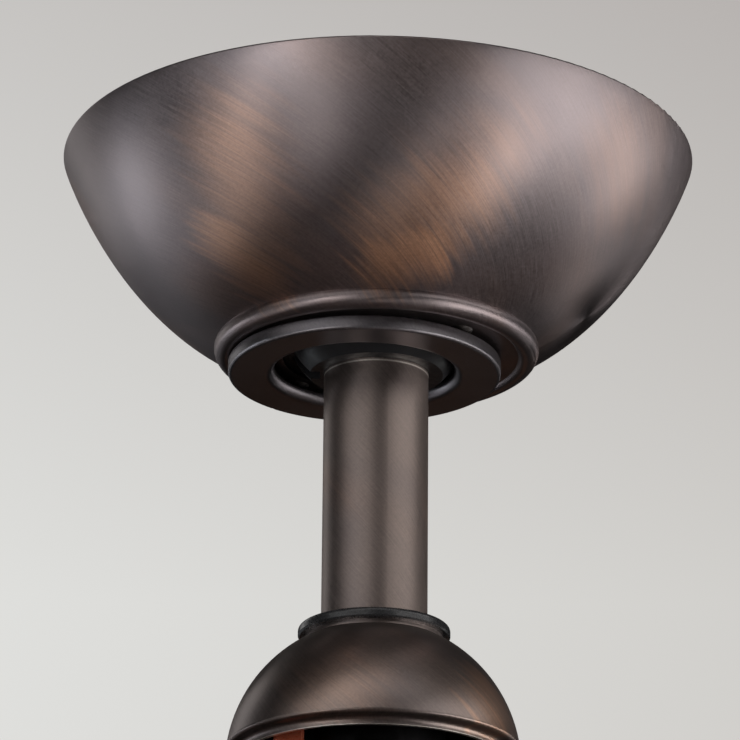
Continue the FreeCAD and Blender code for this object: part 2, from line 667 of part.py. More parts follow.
def dome_cover():
    """Spun dome with a flat boss and a set-in collar round its mouth."""
    r, wall = COVER_R, COVER_WALL
    c = (0.0, COVER_C_Z)
    edge_z, foot_z = COVER_C_Z + COVER_EDGE_Z, COVER_C_Z + COVER_MOUTH_Z
    edge_a = math.degrees(math.asin(COVER_EDGE_Z / r))
    boss_a = math.degrees(math.acos(COVER_BOSS_R / r))
    edge_r = math.sqrt(r**2 - COVER_EDGE_Z**2)
    neck = COVER_COLLAR_R
    ledge_r, ledge_z = (edge_r + neck) / 2, edge_z - 1.25
    shell = Outline(COVER_HOLE_R, COVER_TOP_Z)
    shell.line(COVER_BOSS_R, COVER_TOP_Z)
    shell.line(COVER_BOSS_R, COVER_BOSS_Z)
    shell.arc(c, r, boss_a, edge_a)
    shell.bezier((edge_r + 0.1, edge_z - 0.6), (edge_r - 0.3, ledge_z + 0.1), (ledge_r, ledge_z))
    shell.bezier((ledge_r - 1.0, ledge_z - 0.1), (neck + 0.15, edge_z - 1.8), (neck + 0.05, edge_z - 2.6))
    shell.line(neck, foot_z)
    shell.line(neck - wall, foot_z)
    shell.line(neck - wall, edge_z - 0.7)
    shell.line(ledge_r - 0.3, edge_z - 0.1)
    inner_a = math.degrees(math.asin((COVER_EDGE_Z + 0.5) / (r - wall)))
    shell.line((r - wall) * math.cos(math.radians(inner_a)), edge_z + 0.5)
    top_a = math.degrees(math.acos(COVER_HOLE_R / (r - wall)))
    shell.arc(c, r - wall, inner_a, top_a)
    return shell.revolve()


def cover_grommet():
    """Rubber ring round the rod, on the dome's boss."""
    top, foot = COVER_TOP_Z + GROMMET_T, COVER_TOP_Z
    ring = Outline(ROD_R + 0.35, top)
    ring.line(GROMMET_R - GROMMET_ROUND, top)
    ring.arc((GROMMET_R - GROMMET_ROUND, top - GROMMET_ROUND), GROMMET_ROUND, 90, 0)
    ring.line(GROMMET_R, foot + 0.4)
    ring.line(GROMMET_R - 0.4, foot)
    ring.line(ROD_R + 0.35, foot)
    return ring.revolve()


# ---- motor -----------------------------------------------------------------------------------------
def motor_shaft():
    shaft = tube(SHAFT_R, SHAFT_BORE_R, SHAFT_FOOT_Z, FLANGE_TOP_Z)
    slot = box((-2, 2), (SHAFT_BORE_R - 1.5, SHAFT_R + 1), (SHAFT_FOOT_Z - 1, SHAFT_FOOT_Z + 4))
    return shaft.cut(slot)


def shaft_spacers():
    """Sleeves that hold the two bearings and the carrier plate apart along the shaft."""
    r = SHAFT_R + RACE_T - 0.4
    hub_top, hub_foot = MOTOR_MID_Z + STATOR_H / 2, MOTOR_MID_Z - STATOR_H / 2
    spans = (
        (UPPER_BEARING_Z, FLANGE_FOOT_Z),
        (hub_top, UPPER_BEARING_Z - BEARING_W),
        (LOWER_BEARING_Z, hub_foot),
        (CARRIER_TOP_Z, LOWER_BEARING_Z - BEARING_W),
    )
    return Part.makeCompound([tube(r, SHAFT_R + SLIP, foot, top) for foot, top in spans])


def bearing_levels():
    return (UPPER_BEARING_Z, LOWER_BEARING_Z)


def inner_races():
    races = [tube(SHAFT_R + RACE_T, SHAFT_R + SLIP, z - BEARING_W, z) for z in bearing_levels()]
    return Part.makeCompound(races)


def outer_races():
    inner = SHAFT_R + RACE_T + 2 * BEARING_BALL_R + BALL_GAP
    races = [tube(BEARING_R, inner, z - BEARING_W, z) for z in bearing_levels()]
    return Part.makeCompound(races)


def bearing_ball_set():
    balls = []
    pitch = SHAFT_R + RACE_T + BEARING_BALL_R
    for z in bearing_levels():
        ball = Part.makeSphere(BEARING_BALL_R, V(pitch, 0, z - BEARING_W / 2))
        balls += around(ball, BEARING_BALLS)
    return Part.makeCompound(balls)


def stator_hub():
    foot, top = MOTOR_MID_Z - STATOR_H / 2, MOTOR_MID_Z + STATOR_H / 2
    hub = tube(STATOR_BORE_R, SHAFT_R + SLIP, foot, top)
    hole = tube(5.0, 0, foot - 1, top + 1, ((STATOR_BORE_R + SHAFT_R) / 2 + 0.5, 0))
    return cut_all(hub, around(hole, 6))


def stator_core():
    foot, top = MOTOR_MID_Z - STATOR_H / 2, MOTOR_MID_Z + STATOR_H / 2
    core = tube(STATOR_R, STATOR_BORE_R + SLIP, foot, top)
    slot = tube(SLOT_R, 0, foot - 1, top + 1, (STATOR_R - SLOT_R - 2.5, 0))
    mouth = box((STATOR_R - SLOT_R - 2.5, STATOR_R + 1), (-1, 1), (foot - 1, top + 1))
    return cut_all(core, around(slot.fuse(mouth), STATOR_SLOTS))


def stator_winding():
    """Coil sides through the slots, joined by a ring of end turns above and below."""
    r = STATOR_R - SLOT_R - 2.5
    reach = STATOR_H / 2 + COIL_OVERHANG
    side = tube(COIL_R, 0, MOTOR_MID_Z - reach, MOTOR_MID_Z + reach, (r, 0))
    parts = around(side, STATOR_SLOTS)
    for s in (-1, 1):
        z = MOTOR_MID_Z + s * (STATOR_H / 2 + COIL_OVERHANG)
        parts.append(Part.makeTorus(r, COIL_R + 1.6, V(0, 0, z), AXIS))
    return parts[0].multiFuse(parts[1:]).removeSplitter()


def bell(sign, plate_z):
    """Half of the motor's shell: bearing hub, plate and side wall. sign is -1 for the upper half."""
    hub_r = BEARING_R + BELL_HUB_WALL
    inner = plate_z + sign * BELL_T
    hub_end = plate_z + sign * (BEARING_W + 1.0)
    shell = Outline(BEARING_R, plate_z)
    shell.line(BELL_R, plate_z)
    shell.line(BELL_R, MOTOR_MID_Z)
    shell.line(BELL_R - BELL_T, MOTOR_MID_Z)
    shell.line(BELL_R - BELL_T, inner)
    shell.line(hub_r, inner)
    shell.line(hub_r, hub_end)
    shell.line(BEARING_R, hub_end)
    solid = shell.revolve()
    hole = tube(BELL_SCREW_R + SLIP, 0, min(plate_z, inner) - 1, max(plate_z, inner) + 1, (cage_mid_r(), 0))
    return cut_all(solid, around(hole, BELL_SCREWS, FIRST_BLADE_DEG + 180.0 / BLADES))


def cage_mid_r():
    return CAGE_R - CAGE_T / 2


def upper_bell():
    solid = bell(-1, BELL_TOP_Z)
    posts = [
        tube(5.0, 0, BELL_TOP_Z - 0.5, CROWN_Z - SHEET, (HOUSING_SCREW_PCD / 2, 0)),
    ]
    solid = fuse_all([solid] + around(posts[0], HOUSING_SCREWS, 30))
    bore = tube(HOUSING_SCREW_R + SLIP, 0, CROWN_Z - 12, CROWN_Z, (HOUSING_SCREW_PCD / 2, 0))
    return cut_all(solid, around(bore, HOUSING_SCREWS, 30))


def lower_bell():
    solid = bell(1, BELL_FOOT_Z)
    for turn in blade_turns():
        for y in (-IRON_SCREW_SPACING / 2, IRON_SCREW_SPACING / 2):
            hole = tube(IRON_SCREW_R + SLIP, 0, BELL_FOOT_Z - 1, BELL_FOOT_Z + BELL_T + 1, (IRON_SCREW_AT, y))
            hole.rotate(V(0, 0, 0), AXIS, turn)
            solid = solid.cut(hole)
    return solid


def rotor_cage():
    half = CAGE_H / 2
    ring = tube(CAGE_R - SLIP, CAGE_R - CAGE_T, MOTOR_MID_Z - half, MOTOR_MID_Z + half)
    bore = tube(BELL_SCREW_R + SLIP, 0, MOTOR_MID_Z - half - 1, MOTOR_MID_Z + half + 1, (cage_mid_r(), 0))
    return cut_all(ring, around(bore, BELL_SCREWS, FIRST_BLADE_DEG + 180.0 / BLADES))


def bell_screws():
    """Long screws through both halves and the rotor ring."""
    length = BELL_TOP_Z - BELL_FOOT_Z - 0.4
    screw = pan_screw((cage_mid_r(), 0, BELL_TOP_Z), BELL_SCREW_R, length, 3.6, 1.8, False)
    return Part.makeCompound(around(screw, BELL_SCREWS, FIRST_BLADE_DEG + 180.0 / BLADES))


# ---- motor housing ---------------------------------------------------------------------------------
def crown_hole_r():
    return COUPLING_FLANGE_R + 3.0


def housing_crown():
    """Shallow spun cap over the motor, with a bead round its foot."""
    slope = math.radians(CROWN_FOOT_SLOPE)
    outer = [
        (CROWN_FLAT_R, CROWN_Z),
        (CROWN_FLAT_R + 26.0, CROWN_Z),
        (CROWN_R - 20.0 * math.cos(slope), CROWN_FOOT_Z + 20.0 * math.sin(slope)),
        (CROWN_R, CROWN_FOOT_Z),
    ]
    inner = offset_down(outer, SHEET)
    foot = DRUM_TOP_Z
    shell = Outline(crown_hole_r(), CROWN_Z)
    shell.line(*outer[0])
    shell.bezier(*outer[1:])
    shell.arc((CROWN_R, HOUSING_BEAD_Z), HOUSING_BEAD_R, 90, -90)
    shell.line(CROWN_R - 10.0, foot)
    shell.line(CROWN_R - 10.0, foot + SHEET)
    shell.line(CROWN_R - SHEET, foot + SHEET)
    shell.line(*inner[3])
    shell.bezier(inner[2], inner[1], inner[0])
    shell.line(crown_hole_r(), CROWN_Z - SHEET)
    solid = shell.revolve()
    hole = tube(HOUSING_SCREW_R + 0.3, 0, CROWN_Z - 3, CROWN_Z + 1, (HOUSING_SCREW_PCD / 2, 0))
    solid = cut_all(solid, around(hole, HOUSING_SCREWS, 30))
    return cut_all(solid, around(drum_screw_hole(), 6, 12))


def offset_down(points, wall):
    """The same curve moved under itself by the sheet's thickness."""
    (r0, z0), (r1, z1), (r2, z2), (r3, z3) = points
    slope = math.atan2(z3 - z2, r3 - r2)
    dr, dz = wall * math.sin(slope), -wall * math.cos(slope)
    return [(r0, z0 - wall), (r1, z1 - wall), (r2 + dr, z2 + dz), (r3 + dr, z3 + dz)]


def drum_screw_hole():
    return tube(1.6 + 0.2, 0, DRUM_TOP_Z - 4, DRUM_TOP_Z + 4, (CROWN_R - 6.5, 0))


def drum_screws():
    screw = pan_screw((CROWN_R - 6.5, 0, DRUM_TOP_Z - SHEET), 1.6, 2 * SHEET + 1.0, 3.0, 1.5)
    return Part.makeCompound(around(screw, 6, 12))


def crown_screws():
    at = (HOUSING_SCREW_PCD / 2, 0, CROWN_Z)
    screw = pan_screw(at, HOUSING_SCREW_R, 9.0, 4.4, 2.2, False)
    return Part.makeCompound(around(screw, HOUSING_SCREWS, 30))


def housing_drum():
    """Straight band under the crown, with slots and a turned-in foot."""
    r, t, top, foot = HOUSING_R, SHEET, DRUM_TOP_Z, DRUM_FOOT_Z
    round_r = 3.0
    shell = Outline(CROWN_R - 10.0, top)
    shell.line(r - round_r, top)
    shell.arc((r - round_r, top - round_r), round_r, 90, 0)
    shell.line(r, foot + round_r)
    shell.arc((r - round_r, foot + round_r), round_r, 0, -90)
    shell.line(r - HOUSING_LIP, foot)
    shell.line(r - HOUSING_LIP, foot + t)
    shell.line(r - round_r, foot + t)
    shell.arc((r - round_r, foot + round_r), round_r - t, -90, 0)
    shell.line(r - t, top - round_r)
    shell.arc((r - round_r, top - round_r), round_r - t, 0, 90)
    shell.line(CROWN_R - 10.0, top - t)
    solid = shell.revolve()
    mid = (top + foot) / 2
    half_w, half_h = VENT_WIDTH / 2, VENT_HEIGHT / 2
    slot = box((r - 5, r + 1), (-half_w, half_w), (mid - half_h, mid + half_h))
    uprights = [e for e in slot.Edges if abs(e.Vertexes[0].X - e.Vertexes[-1].X) > 1]
    slot = slot.makeFillet(VENT_WIDTH / 2 - 0.05, uprights)
    solid = cut_all(solid, around(slot, VENT_COUNT))
    return cut_all(solid, around(drum_screw_hole(), 6, 12))


# ---- blades and their irons ------------------------------------------------------------------------
def blade_turns():
    return [FIRST_BLADE_DEG + 360.0 * i / BLADES for i in range(BLADES)]


def pitched(shape):
    """Turned about the blade's long axis at the paddle's top face."""
    shape.rotate(V(0, 0, PADDLE_Z), V(1, 0, 0), BLADE_PITCH)
    return shape


def section(x, width, foot, top, pitch=0.0):
    """A flat rectangular section across the iron."""
    half = width / 2
    points = [V(x, -half, foot), V(x, half, foot), V(x, half, top), V(x, -half, top), V(x, -half, foot)]
    wire = Part.makePolygon(points)
    wire.rotate(V(0, 0, PADDLE_Z), V(1, 0, 0), pitch)
    return wire


def blade_iron():
    """Flat flange under the motor, twisted neck and pitched paddle with a rib."""
    top, foot = IRON_TOP_Z, IRON_TOP_Z - IRON_T
    half = IRON_FLANGE_W / 2
    flange = box((IRON_FLANGE_IN, IRON_FLANGE_OUT), (-half, half), (foot, top))
    ends = [e for e in flange.Edges if abs(e.Vertexes[0].Z - e.Vertexes[-1].Z) > 1 and e.Vertexes[0].X < 60]
    flange = flange.makeFillet(8.0, ends)
    paddle_in = BLADE_ROOT_R - 14.0
    neck = Part.makeLoft(
        [
            section(IRON_FLANGE_OUT, IRON_FLANGE_W, foot, top),
            section(IRON_FLANGE_OUT + 22.0, IRON_NECK_W, foot - 3.0, top - 3.0, BLADE_PITCH * 0.3),
            section(paddle_in - 12.0, IRON_NECK_W, PADDLE_Z - IRON_T, PADDLE_Z, BLADE_PITCH),
            section(paddle_in, IRON_NECK_W * 1.9, PADDLE_Z - IRON_T, PADDLE_Z, BLADE_PITCH),
        ],
        True,
        True,
    )
    half_w = IRON_PADDLE_W / 2
    paddle = box((paddle_in, IRON_PADDLE_OUT), (-half_w, half_w), (PADDLE_Z - IRON_T, PADDLE_Z))
    corners = [e for e in paddle.Edges if abs(e.Vertexes[0].Z - e.Vertexes[-1].Z) > 1]
    outer = [e for e in corners if e.Vertexes[0].X > IRON_PADDLE_OUT - 1]
    paddle = paddle.makeFillet(half_w * 0.8, outer)
    inner = [
        e
        for e in paddle.Edges
        if abs(e.Vertexes[0].Z - e.Vertexes[-1].Z) > 1 and max(v.X for v in e.Vertexes) < paddle_in + 1
    ]
    paddle = paddle.makeFillet(half_w * 0.35, inner)
    window = tube(9.0, 0, PADDLE_Z - IRON_T - 1, PADDLE_Z + 1, (BLADE_ROOT_R + 44.0, 0))
    paddle = pitched(paddle.cut(window))
    iron = fuse_all([flange, neck, paddle])
    holes = [
        tube(IRON_SCREW_R + 0.2, 0, foot - 1, top + 1, (IRON_SCREW_AT, s * IRON_SCREW_SPACING / 2))
        for s in (-1, 1)
    ]
    for x, y in blade_screw_places():
        holes.append(pitched(tube(BLADE_SCREW_R + 0.2, 0, PADDLE_Z - IRON_T - 1, PADDLE_Z + 1, (x, y))))
    return cut_all(iron, holes)


def blade_screw_places():
    return (
        (BLADE_ROOT_R + 18.0, -22.0),
        (BLADE_ROOT_R + 18.0, 22.0),
        (BLADE_ROOT_R + 64.0, 0.0),
    )


def blade():
    """Tapered board with round corners and eased edges."""
    tip = math.sqrt(SWEEP_R**2 - (BLADE_TIP_W / 2 - BLADE_TIP_ROUND) ** 2)
    a, b = BLADE_ROOT_W / 2, BLADE_TIP_W / 2
    corners = [V(BLADE_ROOT_R, -a, 0), V(tip, -b, 0), V(tip, b, 0), V(BLADE_ROOT_R, a, 0)]
    board = Part.Face(Part.makePolygon(corners + [corners[0]])).extrude(V(0, 0, BLADE_T))
    upright = [e for e in board.Edges if abs(e.Vertexes[0].Z - e.Vertexes[-1].Z) > 1]
    board = board.makeFillet(BLADE_TIP_ROUND, [e for e in upright if e.Vertexes[0].X > BLADE_ROOT_R + 1])
    upright = [
        e
        for e in board.Edges
        if abs(e.Vertexes[0].Z - e.Vertexes[-1].Z) > 1 and max(v.X for v in e.Vertexes) < BLADE_ROOT_R + 1
    ]
    board = board.makeFillet(BLADE_ROOT_ROUND, upright)
    rims = [e for e in board.Edges if abs(e.BoundBox.ZLength) < 0.01]
    board = board.makeFillet(BLADE_EDGE, rims)
    board.translate(V(0, 0, PADDLE_Z))
    board = pitched(board)
    bores = [
        pitched(tube(BLADE_SCREW_R + SLIP, 0, PADDLE_Z - 1, PADDLE_Z + BLADE_T - 1.0, (x, y)))
        for x, y in blade_screw_places()
    ]
    return cut_all(board, bores)


def iron_screws():
    screws = []
    for s in (-1, 1):
        at = (IRON_SCREW_AT, s * IRON_SCREW_SPACING / 2, IRON_TOP_Z - IRON_T)
        screws.append(pan_screw(at, IRON_SCREW_R, IRON_T + BELL_T + 1.0, 4.8, 2.0))
    return screws


def blade_screws():
    screws = []
    for x, y in blade_screw_places():
        at = (x, y, PADDLE_Z - IRON_T - WASHER_T)
        length = IRON_T + WASHER_T + BLADE_T - 1.4
        screws.append(pitched(pan_screw(at, BLADE_SCREW_R, length, BLADE_SCREW_HEAD_R, 2.0)))
    return screws


def blade_washers():
    foot = PADDLE_Z - IRON_T - WASHER_T
    return [
        pitched(tube(WASHER_R, BLADE_SCREW_R + 0.1, foot, foot + WASHER_T, (x, y)))
        for x, y in blade_screw_places()
    ]


def on_every_blade(shapes):
    group = []
    for turn in blade_turns():
        for shape in shapes:
            copy = shape.copy()
            copy.rotate(V(0, 0, 0), AXIS, turn)
            group.append(copy)
    return Part.makeCompound(group)


# ---- switch housing --------------------------------------------------------------------------------
def carrier_plate():
    """Disc on the shaft with three turned-down tabs for the switch housing."""
    outer = CUP_R - SHEET - SLIP
    t = CARRIER_T
    parts = [tube(outer, SHAFT_R + SLIP, CARRIER_TOP_Z - t, CARRIER_TOP_Z)]
    ring = tube(outer, outer - t, SWITCH_Z - 6, CARRIER_TOP_Z)
    for angle in TAB_ANGLES:
        strip = box((outer - 12, outer + 1), (-8, 8), (SWITCH_Z - 6, CARRIER_TOP_Z))
        strip.rotate(V(0, 0, 0), AXIS, angle)
        parts.append(ring.common(strip))
    plate = fuse_all(parts)
    window = tube(7.0, 0, CARRIER_TOP_Z - t - 1, CARRIER_TOP_Z + 1, (30.0, 0))
    plate = cut_all(plate, around(window, 3, 30))
    return cut_all(plate, side_screw_bores())


def side_screw_bores():
    bores = []
    for angle in TAB_ANGLES:
        bore = rod_along((1, 0, 0), CUP_SCREW_R + SLIP, (CUP_R - 8, 0, SWITCH_Z), 12)
        bore.rotate(V(0, 0, 0), AXIS, angle)
        bores.append(bore)
    return bores


def switch_cup():
    """Cup that flares under the blade irons, with a flat floor."""
    r, t = CUP_R, SHEET
    flare = [(CUP_RIM_R, CUP_TOP_Z), (CUP_RIM_R - 6, CUP_TOP_Z - 14), (r, CUP_NECK_Z + 13), (r, CUP_NECK_Z)]
    shell = Outline(CUP_RIM_R, CUP_TOP_Z)
    shell.bezier(*flare[1:])
    shell.line(r, CUP_FOOT_Z + 2)
    shell.arc((r - 2, CUP_FOOT_Z + 2), 2, 0, -90)
    shell.line(NIPPLE_R + SLIP, CUP_FOOT_Z)
    shell.line(NIPPLE_R + SLIP, CUP_FOOT_Z + t)
    shell.line(r - 2, CUP_FOOT_Z + t)
    shell.arc((r - 2, CUP_FOOT_Z + 2), 2 - t, -90, 0)
    shell.line(r - t, CUP_NECK_Z)
    shell.bezier((r - t, CUP_NECK_Z + 13.8), (CUP_RIM_R - 6.8, CUP_TOP_Z - 13.4), (CUP_RIM_R - t, CUP_TOP_Z))
    cup = shell.revolve()
    half_h = (SWITCH_KNOB_H + SWITCH_TRAVEL) / 2 + CLEAR
    half_w = SWITCH_KNOB_W / 2 + CLEAR
    slot = box((-half_w, half_w), (-r - 1, -r + 4), (SWITCH_Z - half_h, SWITCH_Z + half_h))
    return cut_all(cup, side_screw_bores() + [slot])


def cup_screws():
    screws = []
    for angle in TAB_ANGLES:
        screw = pan_screw((0, 0, 0), CUP_SCREW_R, 4.4, 3.8, 1.8)
        screw.rotate(V(0, 0, 0), V(0, 1, 0), -90)
        screw.translate(V(CUP_R, 0, SWITCH_Z))
        screw.rotate(V(0, 0, 0), AXIS, angle)
        screws.append(screw)
    return Part.makeCompound(screws)


def shaft_nut():
    top = CARRIER_TOP_Z - CARRIER_T
    hexagon = Part.makePolygon([polar(SHAFT_NUT_R, 60 * i, top - SHAFT_NUT_H) for i in range(7)])
    nut = Part.Face(Part.Wire(hexagon.Edges)).extrude(V(0, 0, SHAFT_NUT_H))
    return nut.cut(tube(SHAFT_R + SLIP, 0, top - SHAFT_NUT_H - 1, top + 1))


def switch_body():
    """Fixed case of the reversing switch, held behind the cup's wall."""
    half_w, half_h = SWITCH_PLATE_W / 2, SWITCH_PLATE_H / 2 + 3.0
    front = -math.sqrt((CUP_R - SHEET) ** 2 - half_w**2)
    case = box((-half_w, half_w), (front, front + 12.0), (SWITCH_Z - half_h, SWITCH_Z + half_h))
    travel = (SWITCH_KNOB_H + SWITCH_TRAVEL) / 2 + CLEAR
    pocket_w = SWITCH_KNOB_W / 2 + CLEAR
    pocket = box((-pocket_w, pocket_w), (front - 1, front + 5.0), (SWITCH_Z - travel, SWITCH_Z + travel))
    return case.cut(pocket)


def switch_slider():
    half_w, half_h = SWITCH_KNOB_W / 2, SWITCH_KNOB_H / 2
    knob = box((-half_w, half_w), (-CUP_R - 3.0, -CUP_R + 6.5), (SWITCH_Z - half_h, SWITCH_Z + half_h))
    knob = knob.makeChamfer(0.6, knob.Edges)
    for dz in (-1.5, 0.0, 1.5):
        z = SWITCH_Z + dz
        groove = box((-half_w - 1, half_w + 1), (-CUP_R - 4, -CUP_R - 2.5), (z - 0.3, z + 0.3))
        knob = knob.cut(groove)
    return knob


def capacitor():
    """Run capacitor on the cup's floor."""
    foot = CUP_FOOT_Z + SHEET
    case = box((-20, 20), (14, 32), (foot, foot + 22))
    return case.makeFillet(1.5, case.Edges)


def nipple():
    return tube(NIPPLE_R, NIPPLE_BORE, CUP_FOOT_Z - SHEET - 7, CUP_FOOT_Z + SHEET + 8)


def nipple_nuts():
    nuts = []
    for foot in (CUP_FOOT_Z + SHEET, CUP_FOOT_Z - SHEET - NIPPLE_NUT_H):
        hexagon = Part.makePolygon([polar(11.5, 60 * i, foot) for i in range(7)])
        nut = Part.Face(Part.Wire(hexagon.Edges)).extrude(V(0, 0, NIPPLE_NUT_H))
        nuts.append(nut.cut(tube(NIPPLE_R + SLIP, 0, foot - 1, foot + NIPPLE_NUT_H + 1)))
    return Part.makeCompound(nuts)


# ---- light -----------------------------------------------------------------------------------------
def sector(outer, inner, foot, top, centre_deg, width_deg):
    ring = Outline(inner, foot)
    ring.line(outer, foot).line(outer, top).line(inner, top)
    piece = ring.revolve(width_deg)
    piece.rotate(V(0, 0, 0), AXIS, centre_deg - width_deg / 2)
    return piece


def lug_centres():
    return [90.0 + 360.0 * i / COLLAR_LUGS for i in range(COLLAR_LUGS)]


def light_pan():
    """Fitter pan that carries the lamp plate and the glass."""
    top, t, r = CUP_FOOT_Z, SHEET, PAN_R
    rim = PAN_RIM_TOP_Z
    shell = Outline(NIPPLE_R + SLIP, top)
    shell.line(CUP_R + 4, top)
    shell.bezier((CUP_R + 22, top), (r - 14, rim + 2), (r - 4, rim))
    shell.arc((r - 4, rim - 4), 4, 90, 0)
    shell.line(r, PAN_FOOT_Z)
    shell.line(r - t, PAN_FOOT_Z)
    shell.line(r - t, rim - 4)
    shell.arc((r - 4, rim - 4), 4 - t, 0, 90)
    shell.bezier((r - 14, rim + 2 - t), (CUP_R + 22, top - t), (CUP_R + 4, top - t))
    shell.line(NIPPLE_R + SLIP, top - t)
    pan = shell.revolve()
    lug_top = GLASS_COLLAR_TOP_Z - LUG_T - LUG_GAP
    lugs = [
        sector(PAN_R - SHEET + 0.4, GLASS_R + 0.6, lug_top - LUG_T, lug_top, c, LUG_DEG)
        for c in lug_centres()
    ]
    return fuse_all([pan] + lugs)


def standoffs():
    post = tube(4.0, 1.6 + SLIP, HEAT_SINK_TOP_Z, CUP_FOOT_Z - SHEET, (STANDOFF_AT, 0))
    return Part.makeCompound(around(post, 3, 30))


def heat_sink():
    plate = tube(HEAT_SINK_R, 9.0, LED_BOARD_TOP_Z, HEAT_SINK_TOP_Z)
    hole = tube(1.6 + SLIP, 0, LED_BOARD_TOP_Z - 1, HEAT_SINK_TOP_Z + 1, (STANDOFF_AT, 0))
    return cut_all(plate, around(hole, 3, 30))


def led_board():
    plate = tube(LED_BOARD_R, 9.0, LED_BOARD_TOP_Z - LED_BOARD_T, LED_BOARD_TOP_Z)
    hole = tube(1.6 + SLIP, 0, LED_BOARD_TOP_Z - 5, LED_BOARD_TOP_Z + 1, (STANDOFF_AT, 0))
    return cut_all(plate, around(hole, 3, 30))


def board_screws():
    at = (STANDOFF_AT, 0, LED_BOARD_TOP_Z - LED_BOARD_T)
    screw = pan_screw(at, 1.6, LED_BOARD_T + HEAT_SINK_T + 6.0, 3.0, 1.5)
    return Part.makeCompound(around(screw, 3, 30))


def leds():
    top = LED_BOARD_TOP_Z - LED_BOARD_T
    chips = []
    for radius, count in LED_RINGS:
        half = LED_SIZE / 2
        chip = box((radius - half, radius + half), (-half, half), (top - LED_T, top))
        chips += around(chip, count, 7.5)
    return Part.makeCompound(chips)


def led_driver():
    top = CUP_FOOT_Z - SHEET
    case = box((-30, 30), (-40, -18), (top - 10.0, top))
    return case.makeFillet(1.0, case.Edges)


def glass_bowl():
    """Blown bowl with a straight collar and three lugs."""
    r, t = GLASS_R, GLASS_WALL
    top, base = GLASS_COLLAR_TOP_Z, PAN_FOOT_Z - GLASS_DEPTH
    start = PAN_FOOT_Z - 3.0
    pull = GLASS_DEPTH * 0.62
    shell = Outline(r - t, top)
    shell.line(r, top)
    shell.line(r, start)
    shell.bezier((r, start - pull), (r * 0.62, base), (0, base))
    shell.line(0, base + t)
    shell.bezier((r * 0.61, base + t), (r - t, start - pull + 1.2), (r - t, start))
    bowl = shell.revolve()
    lugs = [sector(r + LUG_REACH, r - 1.0, top - LUG_T, top, c, LUG_DEG) for c in lug_centres()]
    return fuse_all([bowl] + lugs)


# ---- the assembly ----------------------------------------------------------------------------------
def assembly():
    iron = blade_iron()
    board = blade()
    parts = {
        "hanger_bracket": hanger_bracket(),
        "ground_screw": ground_screw(),
        "canopy": canopy(),
        "canopy_screws": canopy_screws(),
        "canopy_trim_ring": canopy_ring(),
        "ring_magnets": ring_magnets(),
        "hanger_ball": hanger_ball(),
        "ball_cross_pin": ball_pin(),
        "ball_set_screw": ball_set_screw(),
        "downrod": downrod(),
        "lead_wires": lead_wires(),
        "rod_grommet": rod_grommet(),
        "wire_nuts": wire_nuts(),
        "coupling": coupling(),
        "clevis_pin": clevis_pin(),
        "cotter_pin": cotter_pin(),
        "coupling_screws": coupling_screws(),
        "lead_connector": lead_connector(),
        "dome_cover": dome_cover(),
        "cover_grommet": cover_grommet(),
        "motor_shaft": motor_shaft(),
        "shaft_spacers": shaft_spacers(),
        "bearing_inner_races": inner_races(),
        "bearing_outer_races": outer_races(),
        "bearing_balls": bearing_ball_set(),
        "stator_hub": stator_hub(),
        "stator_core": stator_core(),
        "stator_winding": stator_winding(),
        "upper_bell": upper_bell(),
        "lower_bell": lower_bell(),
        "rotor_cage": rotor_cage(),
        "bell_screws": bell_screws(),
        "housing_crown": housing_crown(),
        "crown_screws": crown_screws(),
        "housing_drum": housing_drum(),
        "drum_screws": drum_screws(),
        "iron_screws": on_every_blade(iron_screws()),
        "blade_screws": on_every_blade(blade_screws()),
        "blade_washers": on_every_blade(blade_washers()),
        "carrier_plate": carrier_plate(),
        "shaft_nut": shaft_nut(),
        "switch_cup": switch_cup(),
        "cup_screws": cup_screws(),
        "switch_body": switch_body(),
        "switch_slider": switch_slider(),
        "capacitor": capacitor(),
        "nipple": nipple(),
        "nipple_nuts": nipple_nuts(),
        "light_pan": light_pan(),
        "standoffs": standoffs(),
        "heat_sink": heat_sink(),
        "led_board": led_board(),
        "board_screws": board_screws(),
        "leds": leds(),
        "led_driver": led_driver(),
        "glass_bowl": glass_bowl(),
    }
    parts["blade_irons"] = on_every_blade([iron])
    parts["blades"] = on_every_blade([board])
    return parts


def main():
    os.makedirs(OUT, exist_ok=True)
    for name, shape in assembly().items():
        shape.exportStep(os.path.join(OUT, name + ".step"))


main()
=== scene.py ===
"""Ceiling fan with light: finishes for the packed model's pieces, studio light and camera."""

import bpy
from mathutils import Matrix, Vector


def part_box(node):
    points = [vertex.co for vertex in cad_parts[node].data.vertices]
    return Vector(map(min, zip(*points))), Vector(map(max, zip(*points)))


bl_info = {
    "name": "Ceiling Fan with Light",
    "version": (1, 0, 0),
    "blender": (4, 5, 0),
    "location": "3D View > Sidebar > Ceiling Fan",
    "description": "Oil-rubbed bronze ceiling fan with wooden blades and a glass bowl light",
    "category": "Object",
}

import math

import bmesh
import bpy
from bpy.props import FloatProperty, FloatVectorProperty, IntProperty, PointerProperty
from bpy.types import Operator, Panel, PropertyGroup
from mathutils import Matrix, Vector

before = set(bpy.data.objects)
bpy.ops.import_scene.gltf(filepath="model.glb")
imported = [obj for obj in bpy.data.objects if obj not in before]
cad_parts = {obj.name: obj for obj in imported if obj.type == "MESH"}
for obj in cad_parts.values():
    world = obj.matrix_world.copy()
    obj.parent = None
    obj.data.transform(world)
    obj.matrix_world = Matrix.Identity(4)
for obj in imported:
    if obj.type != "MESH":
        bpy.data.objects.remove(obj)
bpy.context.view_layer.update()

BOWL_MIDDLE_R = 0.062  # where brush lines on the canopy have their true slope
PIPE_R = 0.0133
DOME_MIDDLE_R = 0.030
ARC_SHARE = 0.85  # run along a spun bowl, for each metre that its radius and height change together
BALL_FOOT_Z = -0.0589  # where the pipe leaves the ball


